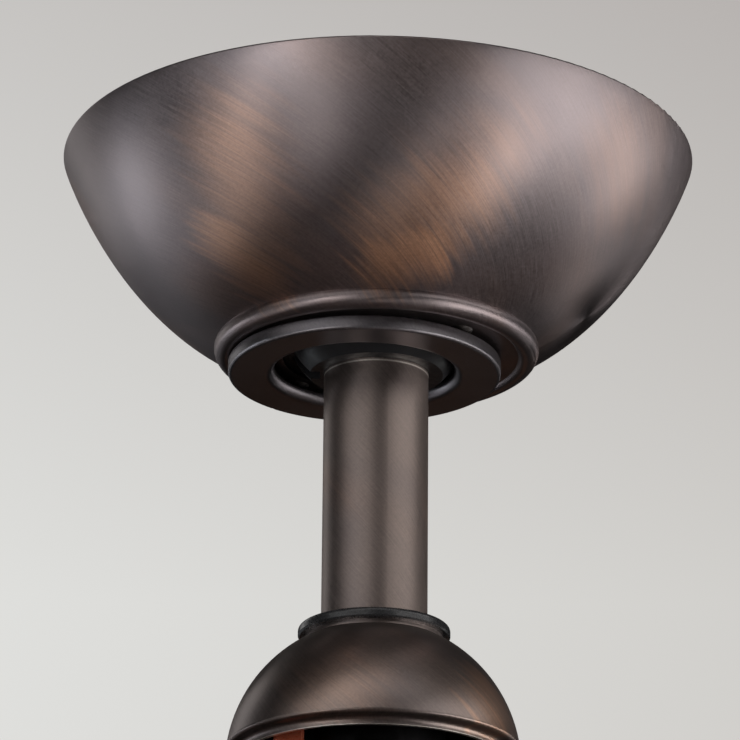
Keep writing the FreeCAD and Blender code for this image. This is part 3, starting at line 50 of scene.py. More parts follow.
# ---- colours and sizes a user may change -----------------------------------------------------------
def colour(name, description, default):
    return FloatVectorProperty(
        name=name, description=description, default=default, size=3, min=0, max=1, subtype="COLOR"
    )


def length(name, description, default):
    return FloatProperty(
        name=name, description=description, default=default, subtype="DISTANCE", unit="LENGTH"
    )


def share(name, description, default):
    return FloatProperty(
        name=name, description=description, default=default, min=0, max=1, subtype="FACTOR"
    )


class BronzeSettings(PropertyGroup):
    """The oil-rubbed bronze coat on the spun metal."""

    dark: colour("Bronze", "Darkened coat", (0.196, 0.165, 0.166))
    cool_dark: colour("Ring bronze", "Darkened coat of the trim ring", (0.166, 0.156, 0.165))
    warm_dark: colour("Pipe bronze", "Darkened coat of the pipe and dome", (0.236, 0.191, 0.172))
    copper: colour("Copper", "Metal showing where the coat is rubbed thin", (0.62, 0.36, 0.235))
    oil: colour("Oil", "Blackest part of the coat", (0.128, 0.112, 0.117))
    # Colour of a painted highlight: thin bright lines round the pipe's foot and the dome's mouth
    painted_highlight: colour("Bare metal", "Edges rubbed bright", (0.72, 0.66, 0.60))
    # Painted shade: the near-black colour given to the inside faces of the dome and canopy
    inside_shade: colour("Inside", "Unpolished inside of the dome and canopy", (0.006, 0.006, 0.007))
    roughness: share("Roughness", "Softness of the coat's shine", 0.36)
    brush_angle: FloatProperty(
        name="Brush angle", description="Slope of the brush lines below the horizontal",
        default=math.radians(49), subtype="ANGLE",
    )
    line_width: length("Brush line", "Width of one brush line", 0.0003)
    line_length: length("Brush stroke", "Length of one brush line", 0.011)
    rub_fray: length("Fray", "How far the brushing frays a rubbed patch", 0.016)


class HangerSettings(PropertyGroup):
    """Bracket, ball and wiring inside the canopy."""

    zinc: colour("Zinc", "Plated sheet steel", (0.58, 0.58, 0.56))
    blacking: colour("Blacking", "Blackened bracket, coupling and pin", (0.022, 0.021, 0.022))
    steel: colour("Steel", "Bright screws and pins", (0.62, 0.61, 0.60))
    ball: colour("Ball", "Moulded hanging ball", (0.008, 0.008, 0.009))
    rubber: colour("Rubber", "Grommets", (0.012, 0.012, 0.013))
    nut: colour("Wire nut", "Moulded wire connectors", (0.72, 0.26, 0.05))
    plug: colour("Lead plug", "Red-brown plug of the motor leads", (0.30, 0.065, 0.03))


class MotorSettings(PropertyGroup):
    """Motor castings, laminations and windings."""

    cast: colour("Casting", "Die-cast aluminium", (0.52, 0.52, 0.51))
    iron: colour("Laminations", "Stacked electrical steel", (0.24, 0.235, 0.24))
    copper: colour("Winding", "Enamelled copper wire", (0.78, 0.36, 0.16))
    lamination: length("Lamination", "Thickness of one sheet", 0.0005)


class BladeSettings(PropertyGroup):
    """Wooden blades."""

    heart: colour("Heartwood", "Darker figure", (0.065, 0.028, 0.014))
    sap: colour("Sapwood", "Lighter figure", (0.19, 0.092, 0.045))
    grain: length("Grain", "Spacing of the grain lines", 0.0035)
    count: IntProperty(name="Blades", description="Blades round the hub", default=5, min=2)


class LightSettings(PropertyGroup):
    """Glass bowl and lamp board."""

    glass: colour("Glass", "Frosted glass", (0.93, 0.87, 0.76))
    board: colour("Board", "Solder mask", (0.82, 0.83, 0.81))
    phosphor: colour("Phosphor", "Lamp chips", (0.86, 0.70, 0.18))


class StageSettings(PropertyGroup):
    """Studio, floor and camera."""

    floor: colour("Floor", "Pale floor", (0.80, 0.79, 0.77))
    neutral: colour("Neutral light", "Light of most soft boxes", (1.0, 0.99, 0.98))
    cool: colour("Cool light", "Light of the soft boxes at the left back", (0.88, 0.94, 1.0))
    box_distance: length("Soft boxes' distance", "Soft boxes to the canopy", 2.4)
    floor_drop: length("Floor", "Floor below the ceiling", 7.0)
    floor_glow: share("Floor glow", "Light of the far floor, which keeps it pale", 0.32)
    camera_back: length("Camera distance", "Camera to the fan's axis, level", 1.100)
    camera_drop: length("Camera drop", "Camera below the ceiling", 0.4651)
    aim_drop: length("Aim", "Point the camera looks at, below the ceiling", 0.0568)
    aim_side: length("Aim to the side", "The same point, from the fan's axis", -0.0016)
    roll: FloatProperty(
        name="Roll", description="Camera's roll", default=math.radians(0.5), subtype="ANGLE"
    )
    lens: FloatProperty(
        name="Lens", description="Focal length on a 36 mm sensor", default=223.4, unit="CAMERA"
    )


# ---- node trees ------------------------------------------------------------------------------------
class Finish:
    """A material under construction: one shader, and nodes added by plain calls."""

    def __init__(self, name):
        self.material = bpy.data.materials.new(name)
        self.material.use_nodes = True
        self.tree = self.material.node_tree
        self.tree.nodes.clear()
        self.output = self.tree.nodes.new("ShaderNodeOutputMaterial")
        self.shader = self.add("ShaderNodeBsdfPrincipled")
        self.tree.links.new(self.shader.outputs[0], self.output.inputs["Surface"])
        self.place = self.add("ShaderNodeTexCoord").outputs["Object"]

    def add(self, kind, inputs=None, **options):
        node = self.tree.nodes.new(kind)
        for key, value in options.items():
            setattr(node, key, value)
        for key, value in (inputs or {}).items():
            self.feed(node.inputs[key], value)
        return node

    def feed(self, socket, value):
        if isinstance(value, bpy.types.NodeSocket):
            self.tree.links.new(value, socket)
        else:
            socket.default_value = value

    def set(self, **inputs):
        for key, value in inputs.items():
            self.feed(self.shader.inputs[key.replace("_", " ")], value)

    def sum(self, operation, first, second=0.0, third=0.0, clamp=False):
        inputs = {0: first, 1: second, 2: third}
        node = self.add("ShaderNodeMath", inputs, operation=operation, use_clamp=clamp)
        return node.outputs[0]

    def vector(self, operation, first, second=None, scale=None):
        node = self.add("ShaderNodeVectorMath", {0: first}, operation=operation)
        if second is not None:
            self.feed(node.inputs[1], second)
        if scale is not None:
            self.feed(node.inputs["Scale"], scale)
        return node.outputs["Value" if operation in ("LENGTH", "DISTANCE", "DOT_PRODUCT") else "Vector"]

    def parts(self, vector):
        node = self.add("ShaderNodeSeparateXYZ", {0: vector})
        return node.outputs[0], node.outputs[1], node.outputs[2]

    def join(self, x, y, z):
        return self.add("ShaderNodeCombineXYZ", {0: x, 1: y, 2: z}).outputs[0]

    def turned(self, vector, axis, angle):
        node = self.add("ShaderNodeVectorRotate", {"Vector": vector, "Angle": angle}, rotation_type=axis)
        return node.outputs[0]

    def stretched(self, vector, sizes):
        """Coordinates in which one unit is the given size along each axis."""
        scale = tuple(1.0 / size for size in sizes)
        return self.vector("MULTIPLY", vector, scale)

    def noise(self, vector, detail=3.0, rough=0.55, bend=0.0):
        node = self.add(
            "ShaderNodeTexNoise",
            {"Vector": vector, "Scale": 1.0, "Detail": detail, "Roughness": rough, "Distortion": bend},
        )
        return node.outputs[0]

    def range(self, value, low, high, to_low=0.0, to_high=1.0, smooth=True):
        node = self.add(
            "ShaderNodeMapRange",
            {"Value": value, "From Min": low, "From Max": high, "To Min": to_low, "To Max": to_high},
            interpolation_type="SMOOTHSTEP" if smooth else "LINEAR",
            clamp=True,
        )
        return node.outputs[0]

    def mix(self, factor, first, second):
        node = self.add("ShaderNodeMix", data_type="RGBA")
        self.feed(node.inputs[0], factor)
        self.feed(node.inputs[6], first if isinstance(first, bpy.types.NodeSocket) else (*first, 1.0))
        self.feed(node.inputs[7], second if isinstance(second, bpy.types.NodeSocket) else (*second, 1.0))
        return node.outputs[2]

    def bump(self, height, distance, strength=1.0, after=None):
        node = self.add("ShaderNodeBump", {"Height": height, "Distance": distance, "Strength": strength})
        if after is not None:
            self.feed(node.inputs["Normal"], after)
        return node.outputs[0]

    def normal(self):
        return self.add("ShaderNodeNewGeometry").outputs["Normal"]


def dress(material, *names):
    """Gives CAD nodes a finish."""
    for name in names:
        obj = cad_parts[name]
        obj.data.materials.clear()
        obj.data.materials.append(material)


# ---- bronze ----------------------------------------------------------------------------------------
def brush_place(f, lean, spun):
    """Coordinates with X along the brush lines.

    spun is (radius, flare) of a shell round the fan's axis, whose surface the lines follow: flare is 1
    where it widens upward, -1 downward, and 0 for a pipe.
    """
    flat = f.place
    if spun is not None:
        radius, flare = spun
        x, y, z = f.parts(f.place)
        turn = f.sum("MULTIPLY", f.sum("ARCTAN2", x, f.sum("MULTIPLY", y, -1.0)), radius)
        reach = f.vector("LENGTH", f.join(x, y, 0.0))
        rise = f.sum("MULTIPLY_ADD", reach, flare, z)
        flat = f.join(turn, 0.0, f.sum("MULTIPLY", rise, ARC_SHARE if flare else 1.0))
    return f.turned(flat, "Y_AXIS", -lean)


def rubbed(f, rubs, fray):
    """How far the coat is rubbed through along each (start, end, radius, strength) stroke."""
    rub = None
    for start, end, radius, strength in rubs:
        run = Vector(end) - Vector(start)
        on = f.vector("DOT_PRODUCT", f.vector("SUBTRACT", f.place, start), run / run.length_squared)
        on = f.sum("ADD", on, 0.0, clamp=True)
        near = f.vector("ADD", f.vector("SCALE", run, scale=on), start)
        away = f.sum("ADD", f.vector("DISTANCE", f.place, near), fray)
        spot = f.range(away, radius * 1.25, 0.0, 0.0, strength)
        rub = spot if rub is None else f.sum("MAXIMUM", rub, spot)
    return rub


def bronze(
    name, rubs=(), copper_share=0.5, roughness=None, mottle=0.5,
    highlight_edge=None, hollow=None, coat=None, spun=None,
):
    """Brushed oil-rubbed bronze.

    rubs are strokes where cloth wore the coat. The (height, width) edge pair sets a painted highlight: a
    thin bright line of pale metal colour round the part at that height. hollow is the middle of a cup
    whose inside faces are painted near black as shade. coat is the colour of the dark coat where it isn't
    the usual one. spun makes the brush lines follow a spun shell.
    """
    s = bpy.context.scene.fan_bronze
    f = Finish(name)
    long, wide = s.line_length, s.line_width
    along = brush_place(f, s.brush_angle, spun)
    hair = f.noise(f.stretched(along, (long, wide, wide)), 3.0, 0.6)
    stroke = f.noise(f.stretched(along, (long * 4.0, wide * 2.2, wide * 2.2)), 2.0, 0.5)
    sweep = f.noise(f.stretched(along, (long * 3.5, wide * 8.0, wide * 8.0)), 1.0, 0.5)
    cloud = f.noise(f.stretched(f.place, (0.030, 0.030, 0.030)), 2.0, 0.5)
    grit = f.noise(f.stretched(f.place, (0.0007, 0.0007, 0.0007)), 2.0, 0.6)
    blot = f.noise(f.stretched(along, (0.060, 0.026, 0.026)), 1.0, 0.45)
    wear_and_highlight = f.range(blot, 0.50, 0.72, 0.0, copper_share)
    if rubs:
        fray = f.sum("MULTIPLY", f.sum("SUBTRACT", sweep, 0.5), s.rub_fray)
        wear_and_highlight = f.sum("MAXIMUM", wear_and_highlight, rubbed(f, rubs, fray))
    ragged = f.range(stroke, 0.30, 0.68, 0.78, 1.18)
    wear_and_highlight = f.sum("MULTIPLY", wear_and_highlight, ragged, clamp=True)
    base = f.mix(f.range(cloud, 0.35, 0.70, 0.0, mottle), coat or s.dark[:], s.oil[:])
    base = f.mix(wear_and_highlight, base, s.copper[:])
    # Painted highlight: a thin band of pale metal colour at the given height
    if highlight_edge is not None:
        edge_z, edge_width = highlight_edge
        off = f.sum("ABSOLUTE", f.sum("SUBTRACT", f.parts(f.place)[2], edge_z))
        base = f.mix(f.range(off, edge_width, edge_width * 0.3), base, s.painted_highlight[:])
    lines = f.range(hair, 0.25, 0.75, 0.83, 1.17, smooth=False)
    speck = f.range(grit, 0.25, 0.75, 0.90, 1.10, smooth=False)
    tone = f.vector("SCALE", base, scale=f.sum("MULTIPLY", lines, speck))
    rough = roughness or s.roughness
    satin = f.range(hair, 0.2, 0.8, rough - 0.03, rough + 0.05)
    shine = f.sum("ADD", satin, f.range(grit, 0.3, 0.7, -0.02, 0.03))
    brush = f.turned((1.0, 0.0, 0.0), "Y_AXIS", s.brush_angle)
    across = f.vector("CROSS_PRODUCT", f.normal(), brush)
    # Painted shade: faces turned in toward the hollow's middle are painted near black
    if hollow is not None:
        out = f.vector("NORMALIZE", f.vector("SUBTRACT", f.place, hollow))
        inside = f.range(f.vector("DOT_PRODUCT", f.normal(), out), -0.15, -0.30)
        tone = f.mix(inside, tone, s.inside_shade[:])
        shine = f.sum("MAXIMUM", shine, f.sum("MULTIPLY", inside, 0.6))
    f.set(Base_Color=tone, Metallic=1.0, Roughness=shine, Anisotropic=0.55, Tangent=across)
    fine = f.bump(hair, 0.00003, 0.5)
    f.set(Normal=f.bump(grit, 0.00002, 0.35, fine))
    return f.material


class FAN_OT_canopy(Operator):
    """Brushed bronze on the canopy and its trim ring"""

    bl_idname = "fan.canopy"
    bl_label = "Canopy"

    def execute(self, context):
        bowl_rubs = (
            ((-0.037, -0.062, -0.020), (-0.033, -0.051, -0.035), 0.017, 0.34),
            ((-0.037, -0.044, -0.039), (-0.028, -0.040, -0.045), 0.012, 0.55),
            ((0.003, -0.049, -0.045), (0.013, -0.051, -0.043), 0.011, 1.00),
            ((0.004, -0.055, -0.041), (0.019, -0.060, -0.033), 0.016, 0.48),
            ((0.016, -0.065, -0.028), (0.030, -0.064, -0.022), 0.014, 0.15),
            ((0.060, -0.045, -0.014), (0.063, -0.033, -0.023), 0.015, 0.12),
        )
        # The canopy's inside faces, turned toward this point, get painted shade
        middle = (0, 0, -0.020)
        bowl = bronze("canopy_bronze", bowl_rubs, 0.08, hollow=middle, spun=(BOWL_MIDDLE_R, 1.0))
        dress(bowl, "canopy")
        coat = context.scene.fan_bronze.cool_dark[:]
        dress(bronze("trim_ring_bronze", (), 0.0, coat=coat), "canopy_trim_ring")
        blacking = context.scene.fan_hanger.blacking[:]
        dress(plated("magnet_black", blacking, 0.5, 0.003), "ring_magnets")
        return {"FINISHED"}


class FAN_OT_downrod(Operator):
    """Bronze pipe with a painted highlight: a thin bright line where it leaves the ball"""

    bl_idname = "fan.downrod"
    bl_label = "Downrod"

    def execute(self, context):
        coat = context.scene.fan_bronze.warm_dark[:]
        # Painted highlight: a thin bright line round the pipe where it leaves the ball
        wear_and_highlight = (BALL_FOOT_Z, 0.0003)
        pipe = bronze("downrod_bronze", (), 0.14, 0.40, 0.45, wear_and_highlight, coat=coat, spun=(PIPE_R, 0.0))
        dress(pipe, "downrod")
        return {"FINISHED"}


class FAN_OT_dome_cover(Operator):
    """Bronze dome over the coupling"""

    bl_idname = "fan.dome_cover"
    bl_label = "Dome cover"

    def execute(self, context):
        rubs = (
            ((0.0255, -0.0200, -0.148), (0.0300, -0.0180, -0.155), 0.009, 0.55),
            ((-0.014, -0.032, -0.150), (-0.004, -0.034, -0.150), 0.012, 0.16),
        )
        # The dome's inside faces, turned toward this point, get painted shade
        middle = (0, 0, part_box("dome_cover")[0][2] + 0.0005)
        # Painted highlight: a thin bright line round the dome's mouth
        edge = (middle[2] - 0.0005, 0.00025)
        coat = context.scene.fan_bronze.warm_dark[:]
        spun = (DOME_MIDDLE_R, -1.0)
        dome = bronze("dome_bronze", rubs, 0.10, highlight_edge=edge, hollow=middle, coat=coat, spun=spun)
        dress(dome, "dome_cover")
        rubber_black = context.scene.fan_hanger.rubber[:]
        dress(moulded("disc_rubber", rubber_black, 0.26, 0.0009, 0.01), "cover_grommet")
        return {"FINISHED"}


# ---- plain metals, rubber and plastics -------------------------------------------------------------
def plated(name, base, roughness=0.32, spangle=0.010):
    """Zinc-plated steel: cloudy crystals, fine rolling lines and scuffs."""
    f = Finish(name)
    cell = f.add("ShaderNodeTexVoronoi", {"Vector": f.stretched(f.place, (spangle,) * 3), "Scale": 1.0})
    cloud = f.noise(f.stretched(f.place, (0.02, 0.02, 0.02)), 4.0)
    roll = f.noise(f.stretched(f.place, (0.0004, 0.020, 0.0004)), 3.0)
    flake = f.parts(cell.outputs["Color"])[0]
    shade = f.sum("ADD", f.range(flake, 0, 1, 0.82, 1.02), f.range(cloud, 0.3, 0.7, -0.10, 0.08))
    f.set(Base_Color=f.vector("SCALE", (*base,), scale=shade), Metallic=1.0)
    crystal = f.range(flake, 0, 1, roughness - 0.06, roughness + 0.10)
    rough = f.sum("ADD", crystal, f.range(roll, 0.3, 0.7, 0, 0.06))
    f.set(Roughness=rough, Normal=f.bump(roll, 0.00003, 0.4))
    return f.material


def turned_steel(name, base, roughness=0.24):
    """Machined steel: rings left by the tool and a light haze of wear."""
    f = Finish(name)
    x, y, z = f.parts(f.place)
    crossed = f.join(f.sum("ADD", x, y), z, f.sum("SUBTRACT", x, y))
    ring = f.noise(f.stretched(crossed, (0.0005, 0.0003, 0.0005)))
    haze = f.noise(f.stretched(f.place, (0.006, 0.006, 0.006)), 4.0)
    shade = f.sum("ADD", f.range(ring, 0.3, 0.7, 0.86, 1.0), f.range(haze, 0.3, 0.7, -0.14, 0.05))
    f.set(Base_Color=f.vector("SCALE", (*base,), scale=shade), Metallic=1.0)
    f.set(Roughness=f.range(haze, 0.25, 0.75, roughness - 0.05, roughness + 0.16))
    f.set(Normal=f.bump(ring, 0.00002, 0.4))
    return f.material


def black_screw(name):
    """Blackened screw with bright steel showing on its raised parts."""
    f = Finish(name)
    wear = f.noise(f.stretched(f.place, (0.0016, 0.0016, 0.0016)), 4.0)
    tint = f.mix(f.range(wear, 0.56, 0.72), (0.05, 0.045, 0.043), (0.33, 0.27, 0.23))
    f.set(Base_Color=tint, Metallic=1.0)
    f.set(Roughness=f.range(wear, 0.3, 0.7, 0.48, 0.30), Normal=f.bump(wear, 0.00004, 0.4))
    return f.material


def rubber(name, base):
    """Rubber with a dusty bloom and a moulded skin."""
    f = Finish(name)
    bloom = f.noise(f.stretched(f.place, (0.008, 0.008, 0.008)), 4.0)
    skin = f.noise(f.stretched(f.place, (0.0005, 0.0005, 0.0005)), 2.0)
    f.set(Base_Color=f.mix(f.range(bloom, 0.4, 0.8, 0.0, 0.5), base, tuple(c + 0.04 for c in base)))
    f.set(Roughness=f.range(bloom, 0.3, 0.7, 0.52, 0.72), Normal=f.bump(skin, 0.00006, 0.5))
    return f.material


def moulded(name, base, roughness=0.38, texture=0.0006, fade=0.06, gloss=0.5):
    """Moulded plastic: fine spark-eroded texture, slight flow marks and scuffs."""
    f = Finish(name)
    flow = f.noise(f.stretched(f.place, (0.012, 0.012, 0.030)), 3.0, 0.5, 0.6)
    skin = f.noise(f.stretched(f.place, (texture,) * 3), 2.0)
    scuff = f.noise(f.stretched(f.turned(f.place, "Y_AXIS", 0.6), (0.006, 0.0004, 0.0004)), 3.0)
    pale = tuple(min(1.0, c * (1 + 6 * fade) + fade * 0.2) for c in base)
    tint = f.mix(f.range(flow, 0.35, 0.75, 0.0, 0.6), base, pale)
    scuffed = tuple(min(1.0, c + 2.0 * fade) for c in base)
    f.set(Base_Color=f.mix(f.range(scuff, 0.66, 0.80, 0.0, 0.25), tint, scuffed))
    f.set(Roughness=f.range(skin, 0.3, 0.7, roughness - 0.05, roughness + 0.08))
    f.set(Specular_IOR_Level=gloss, Normal=f.bump(skin, 0.00005, 0.45))
    return f.material


class FAN_OT_hanger(Operator):
    """Black bracket, moulded ball, pins and screws inside the canopy"""

    bl_idname = "fan.hanger"
    bl_label = "Hanger"

    def execute(self, context):
        s = context.scene.fan_hanger
        dress(plated("bracket_black", s.blacking[:], 0.45), "hanger_bracket")
        dress(turned_steel("pin_steel", s.steel[:]), "ground_screw", "ball_cross_pin", "ball_set_screw")
        dress(black_screw("canopy_screw_black"), "canopy_screws")
        dress(moulded("ball_plastic", s.ball[:], 0.36, 0.0012, 0.003, 0.16), "hanger_ball")
        dress(rubber("rod_grommet_rubber", s.rubber[:]), "rod_grommet")
        return {"FINISHED"}


class FAN_OT_coupling(Operator):
    """Rod socket with its pin, cotter and screws"""

    bl_idname = "fan.coupling"
    bl_label = "Coupling"

    def execute(self, context):
        s = context.scene.fan_hanger
        dress(plated("coupling_black", s.blacking[:], 0.50, 0.004), "coupling")
        dress(turned_steel("pin_black", s.blacking[:], 0.44), "clevis_pin", "coupling_screws")
        dress(turned_steel("cotter_steel", s.steel[:]), "cotter_pin")
        return {"FINISHED"}


class FAN_OT_wiring(Operator):
    """Leads, their moulded nuts and the motor's plug"""

    bl_idname = "fan.wiring"
    bl_label = "Wiring"

    def execute(self, context):
        s = context.scene.fan_hanger
        f = Finish("lead_insulation")
        x, y, z = f.parts(f.place)
        left = f.range(x, -0.001, 0.001)
        front = f.range(y, -0.0005, 0.0005)
        hue = f.mix(front, (0.72, 0.72, 0.70), (0.014, 0.014, 0.014))
        hue = f.mix(left, hue, (0.03, 0.22, 0.06))
        dust = f.noise(f.stretched(f.place, (0.0015, 0.0015, 0.006)), 3.0)
        f.set(Base_Color=f.mix(f.range(dust, 0.55, 0.8, 0.0, 0.25), hue, (0.3, 0.3, 0.3)))
        f.set(Roughness=f.range(dust, 0.3, 0.7, 0.32, 0.46), Normal=f.bump(dust, 0.00004, 0.4))
        dress(f.material, "lead_wires")
        dress(moulded("wire_nut_plastic", s.nut[:], 0.40), "wire_nuts")
        dress(moulded("lead_plug_plastic", s.plug[:], 0.30), "lead_connector")
        return {"FINISHED"}


# ---- motor -----------------------------------------------------------------------------------------
def casting(name, base):
    """Die-cast aluminium: sandy skin and machined sheen."""
    f = Finish(name)
    sand = f.noise(f.stretched(f.place, (0.0008, 0.0008, 0.0008)), 3.0)
    flow = f.noise(f.stretched(f.place, (0.02, 0.02, 0.02)), 4.0, 0.6, 0.8)
    shade = f.sum("ADD", f.range(sand, 0.3, 0.7, 0.88, 1.02), f.range(flow, 0.3, 0.7, -0.12, 0.04))
    f.set(Base_Color=f.vector("SCALE", (*base,), scale=shade), Metallic=1.0)
    f.set(Roughness=f.range(flow, 0.3, 0.7, 0.38, 0.54), Normal=f.bump(sand, 0.00012, 0.5))
    return f.material


def laminations(name, base, pitch):
    """Stacked sheets seen on edge, with a film of varnish."""
    f = Finish(name)
    z = f.parts(f.place)[2]
    phase = f.sum("FRACT", f.sum("DIVIDE", z, pitch))
    edge = f.range(f.sum("ABSOLUTE", f.sum("SUBTRACT", phase, 0.5)), 0.30, 0.5)
    varnish = f.noise(f.stretched(f.place, (0.01, 0.01, 0.01)), 4.0)
    tint = f.mix(f.range(varnish, 0.4, 0.75, 0.0, 0.55), base, (0.20, 0.11, 0.05))
    f.set(Base_Color=f.mix(f.sum("MULTIPLY", edge, 0.6), tint, (0.05, 0.045, 0.04)), Metallic=0.85)
    f.set(Roughness=f.range(varnish, 0.3, 0.7, 0.34, 0.55), Normal=f.bump(edge, 0.0001, -0.6))
    return f.material


def winding(name, base):
    """Round wires wound side by side, varnished and tied."""
    f = Finish(name)
    x, y, z = f.parts(f.place)
    turn = f.sum("MULTIPLY", f.sum("ARCTAN2", y, x), 0.064)
    wound = f.sum("ADD", z, f.sum("MULTIPLY", turn, 0.35))
    strand = f.add(
        "ShaderNodeTexWave",
        {"Vector": f.join(wound, 0.0, 0.0), "Scale": 260.0, "Distortion": 1.2, "Detail": 2.0},
        bands_direction="X",
    ).outputs["Fac"]
    varnish = f.noise(f.stretched(f.place, (0.006, 0.006, 0.006)), 4.0)
    # Painted shade: each wire darkens toward the grooves between neighbouring wires
    groove_shade = tuple(c * 0.35 for c in base)
    tint = f.mix(f.range(strand, 0.1, 0.7), groove_shade, base)
    f.set(Base_Color=f.mix(f.range(varnish, 0.5, 0.8, 0.0, 0.4), tint, (0.28, 0.10, 0.03)), Metallic=0.9)
    f.set(Roughness=f.range(varnish, 0.3, 0.7, 0.24, 0.42), Normal=f.bump(strand, 0.0004, 0.7))
    return f.material


class FAN_OT_motor(Operator):
    """Shaft, bearings, stator and the turning shell of the motor"""

    bl_idname = "fan.motor"
    bl_label = "Motor"

    def execute(self, context):
        s = context.scene.fan_motor
        steel = turned_steel("shaft_steel", context.scene.fan_hanger.steel[:], 0.20)
        dress(steel, "motor_shaft", "shaft_spacers", "bell_screws", "shaft_nut")
        races = turned_steel("bearing_steel", (0.66, 0.66, 0.66), 0.12)
        dress(races, "bearing_inner_races", "bearing_outer_races")
        dress(turned_steel("bearing_ball_steel", (0.74, 0.74, 0.75), 0.08), "bearing_balls")
        dress(casting("motor_casting", s.cast[:]), "upper_bell", "lower_bell", "stator_hub")
        dress(laminations("stator_iron", s.iron[:], s.lamination), "stator_core")
        dress(laminations("rotor_iron", tuple(c * 0.8 for c in s.iron), s.lamination), "rotor_cage")
        dress(winding("winding_copper", s.copper[:]), "stator_winding")
        return {"FINISHED"}


class FAN_OT_housing(Operator):
    """Bronze housing round the motor"""

    bl_idname = "fan.housing"
    bl_label = "Motor housing"

    def execute(self, context):
        dress(bronze("crown_bronze", (), 0.45), "housing_crown")
        dress(bronze("drum_bronze", (), 0.40), "housing_drum")
        dress(black_screw("housing_screw_black"), "crown_screws", "drum_screws")
        return {"FINISHED"}


# ---- blades ----------------------------------------------------------------------------------------
def blade_place(f, count):
    """Position on the nearest blade: along it, across it, and its number."""
    x, y, z = f.parts(f.place)
    sector = math.tau / count
    angle = f.sum("ARCTAN2", y, x)
    counted = f.sum("ADD", f.sum("DIVIDE", f.sum("SUBTRACT", angle, math.pi / 2), sector), 0.5 + count)
    number = f.sum("FLOOR", counted)
    local = f.sum("MULTIPLY", f.sum("SUBTRACT", f.sum("FRACT", counted), 0.5), sector)
    reach = f.vector("LENGTH", f.join(x, y, 0.0))
    along = f.sum("MULTIPLY", reach, f.sum("COSINE", local))
    across = f.sum("MULTIPLY", reach, f.sum("SINE", local))
    return along, across, z, number


class FAN_OT_blades(Operator):
    """Walnut-veneered blades"""

    bl_idname = "fan.blades"
    bl_label = "Blades"

    def execute(self, context):
        s = context.scene.fan_blades
        f = Finish("walnut")
        along, across, z, number = blade_place(f, s.count)
        shift = f.sum("MULTIPLY", number, 0.37)
        board = f.join(f.sum("ADD", along, shift), across, f.sum("ADD", z, shift))
        drift = f.noise(f.stretched(board, (0.42, 0.055, 0.055)), 2.0, 0.5)
        rings = f.sum("ADD", f.sum("DIVIDE", across, s.grain * 3.4), f.sum("MULTIPLY", drift, 9.0))
        band = f.sum("SINE", f.sum("MULTIPLY", rings, math.tau * 0.5))
        figure = f.range(band, -0.9, 0.95)
        pores = f.noise(f.stretched(board, (0.016, s.grain * 0.11, s.grain * 0.11)), 3.0, 0.6)
        fleck = f.range(pores, 0.58, 0.70)
        cloud = f.noise(f.stretched(board, (0.16, 0.04, 0.04)), 3.0)
        wood = f.mix(f.sum("MULTIPLY", figure, 0.7), s.heart[:], s.sap[:])
        wood = f.mix(f.range(cloud, 0.35, 0.75, 0.0, 0.45), wood, tuple(c * 1.25 for c in s.sap))
        wood = f.mix(f.sum("MULTIPLY", fleck, 0.65), wood, tuple(c * 0.4 for c in s.heart))
        f.set(Base_Color=wood, Roughness=f.range(cloud, 0.3, 0.7, 0.40, 0.52))
        f.set(Coat_Weight=0.12, Coat_Roughness=0.32)
        f.set(Normal=f.bump(fleck, 0.00012, -0.5))
        dress(f.material, "blades")
        dress(black_screw("blade_screw_black"), "blade_screws", "iron_screws")
        f = Finish("red_fibre")
        fibre = f.noise(f.stretched(f.place, (0.0006, 0.0006, 0.0002)), 4.0)
        f.set(Base_Color=f.mix(fibre, (0.20, 0.045, 0.025), (0.34, 0.10, 0.06)))
        f.set(Roughness=f.range(fibre, 0, 1, 0.6, 0.8), Normal=f.bump(fibre, 0.00008, 0.6))
        dress(f.material, "blade_washers")
        return {"FINISHED"}


class FAN_OT_blade_irons(Operator):
    """Bronze arms that carry the blades"""

    bl_idname = "fan.blade_irons"
    bl_label = "Blade irons"

    def execute(self, context):
        dress(bronze("blade_iron_bronze", (), 0.55, 0.40), "blade_irons")
        return {"FINISHED"}


# ---- switch housing and light ----------------------------------------------------------------------
class FAN_OT_switch_housing(Operator):
    """Switch cup, its carrier and what it holds"""

    bl_idname = "fan.switch_housing"
    bl_label = "Switch housing"

    def execute(self, context):
        s = context.scene.fan_hanger
        dress(bronze("cup_bronze", (), 0.40), "switch_cup")
        dress(plated("carrier_zinc", s.zinc[:]), "carrier_plate", "nipple_nuts")
        dress(turned_steel("nipple_steel", s.steel[:]), "nipple", "standoffs", "board_screws")
        dress(black_screw("cup_screw_black"), "cup_screws")
        dress(moulded("switch_black", (0.018, 0.018, 0.018), 0.42), "switch_body", "switch_slider")
        dress(moulded("capacitor_black", (0.024, 0.024, 0.026), 0.30), "capacitor")
        return {"FINISHED"}


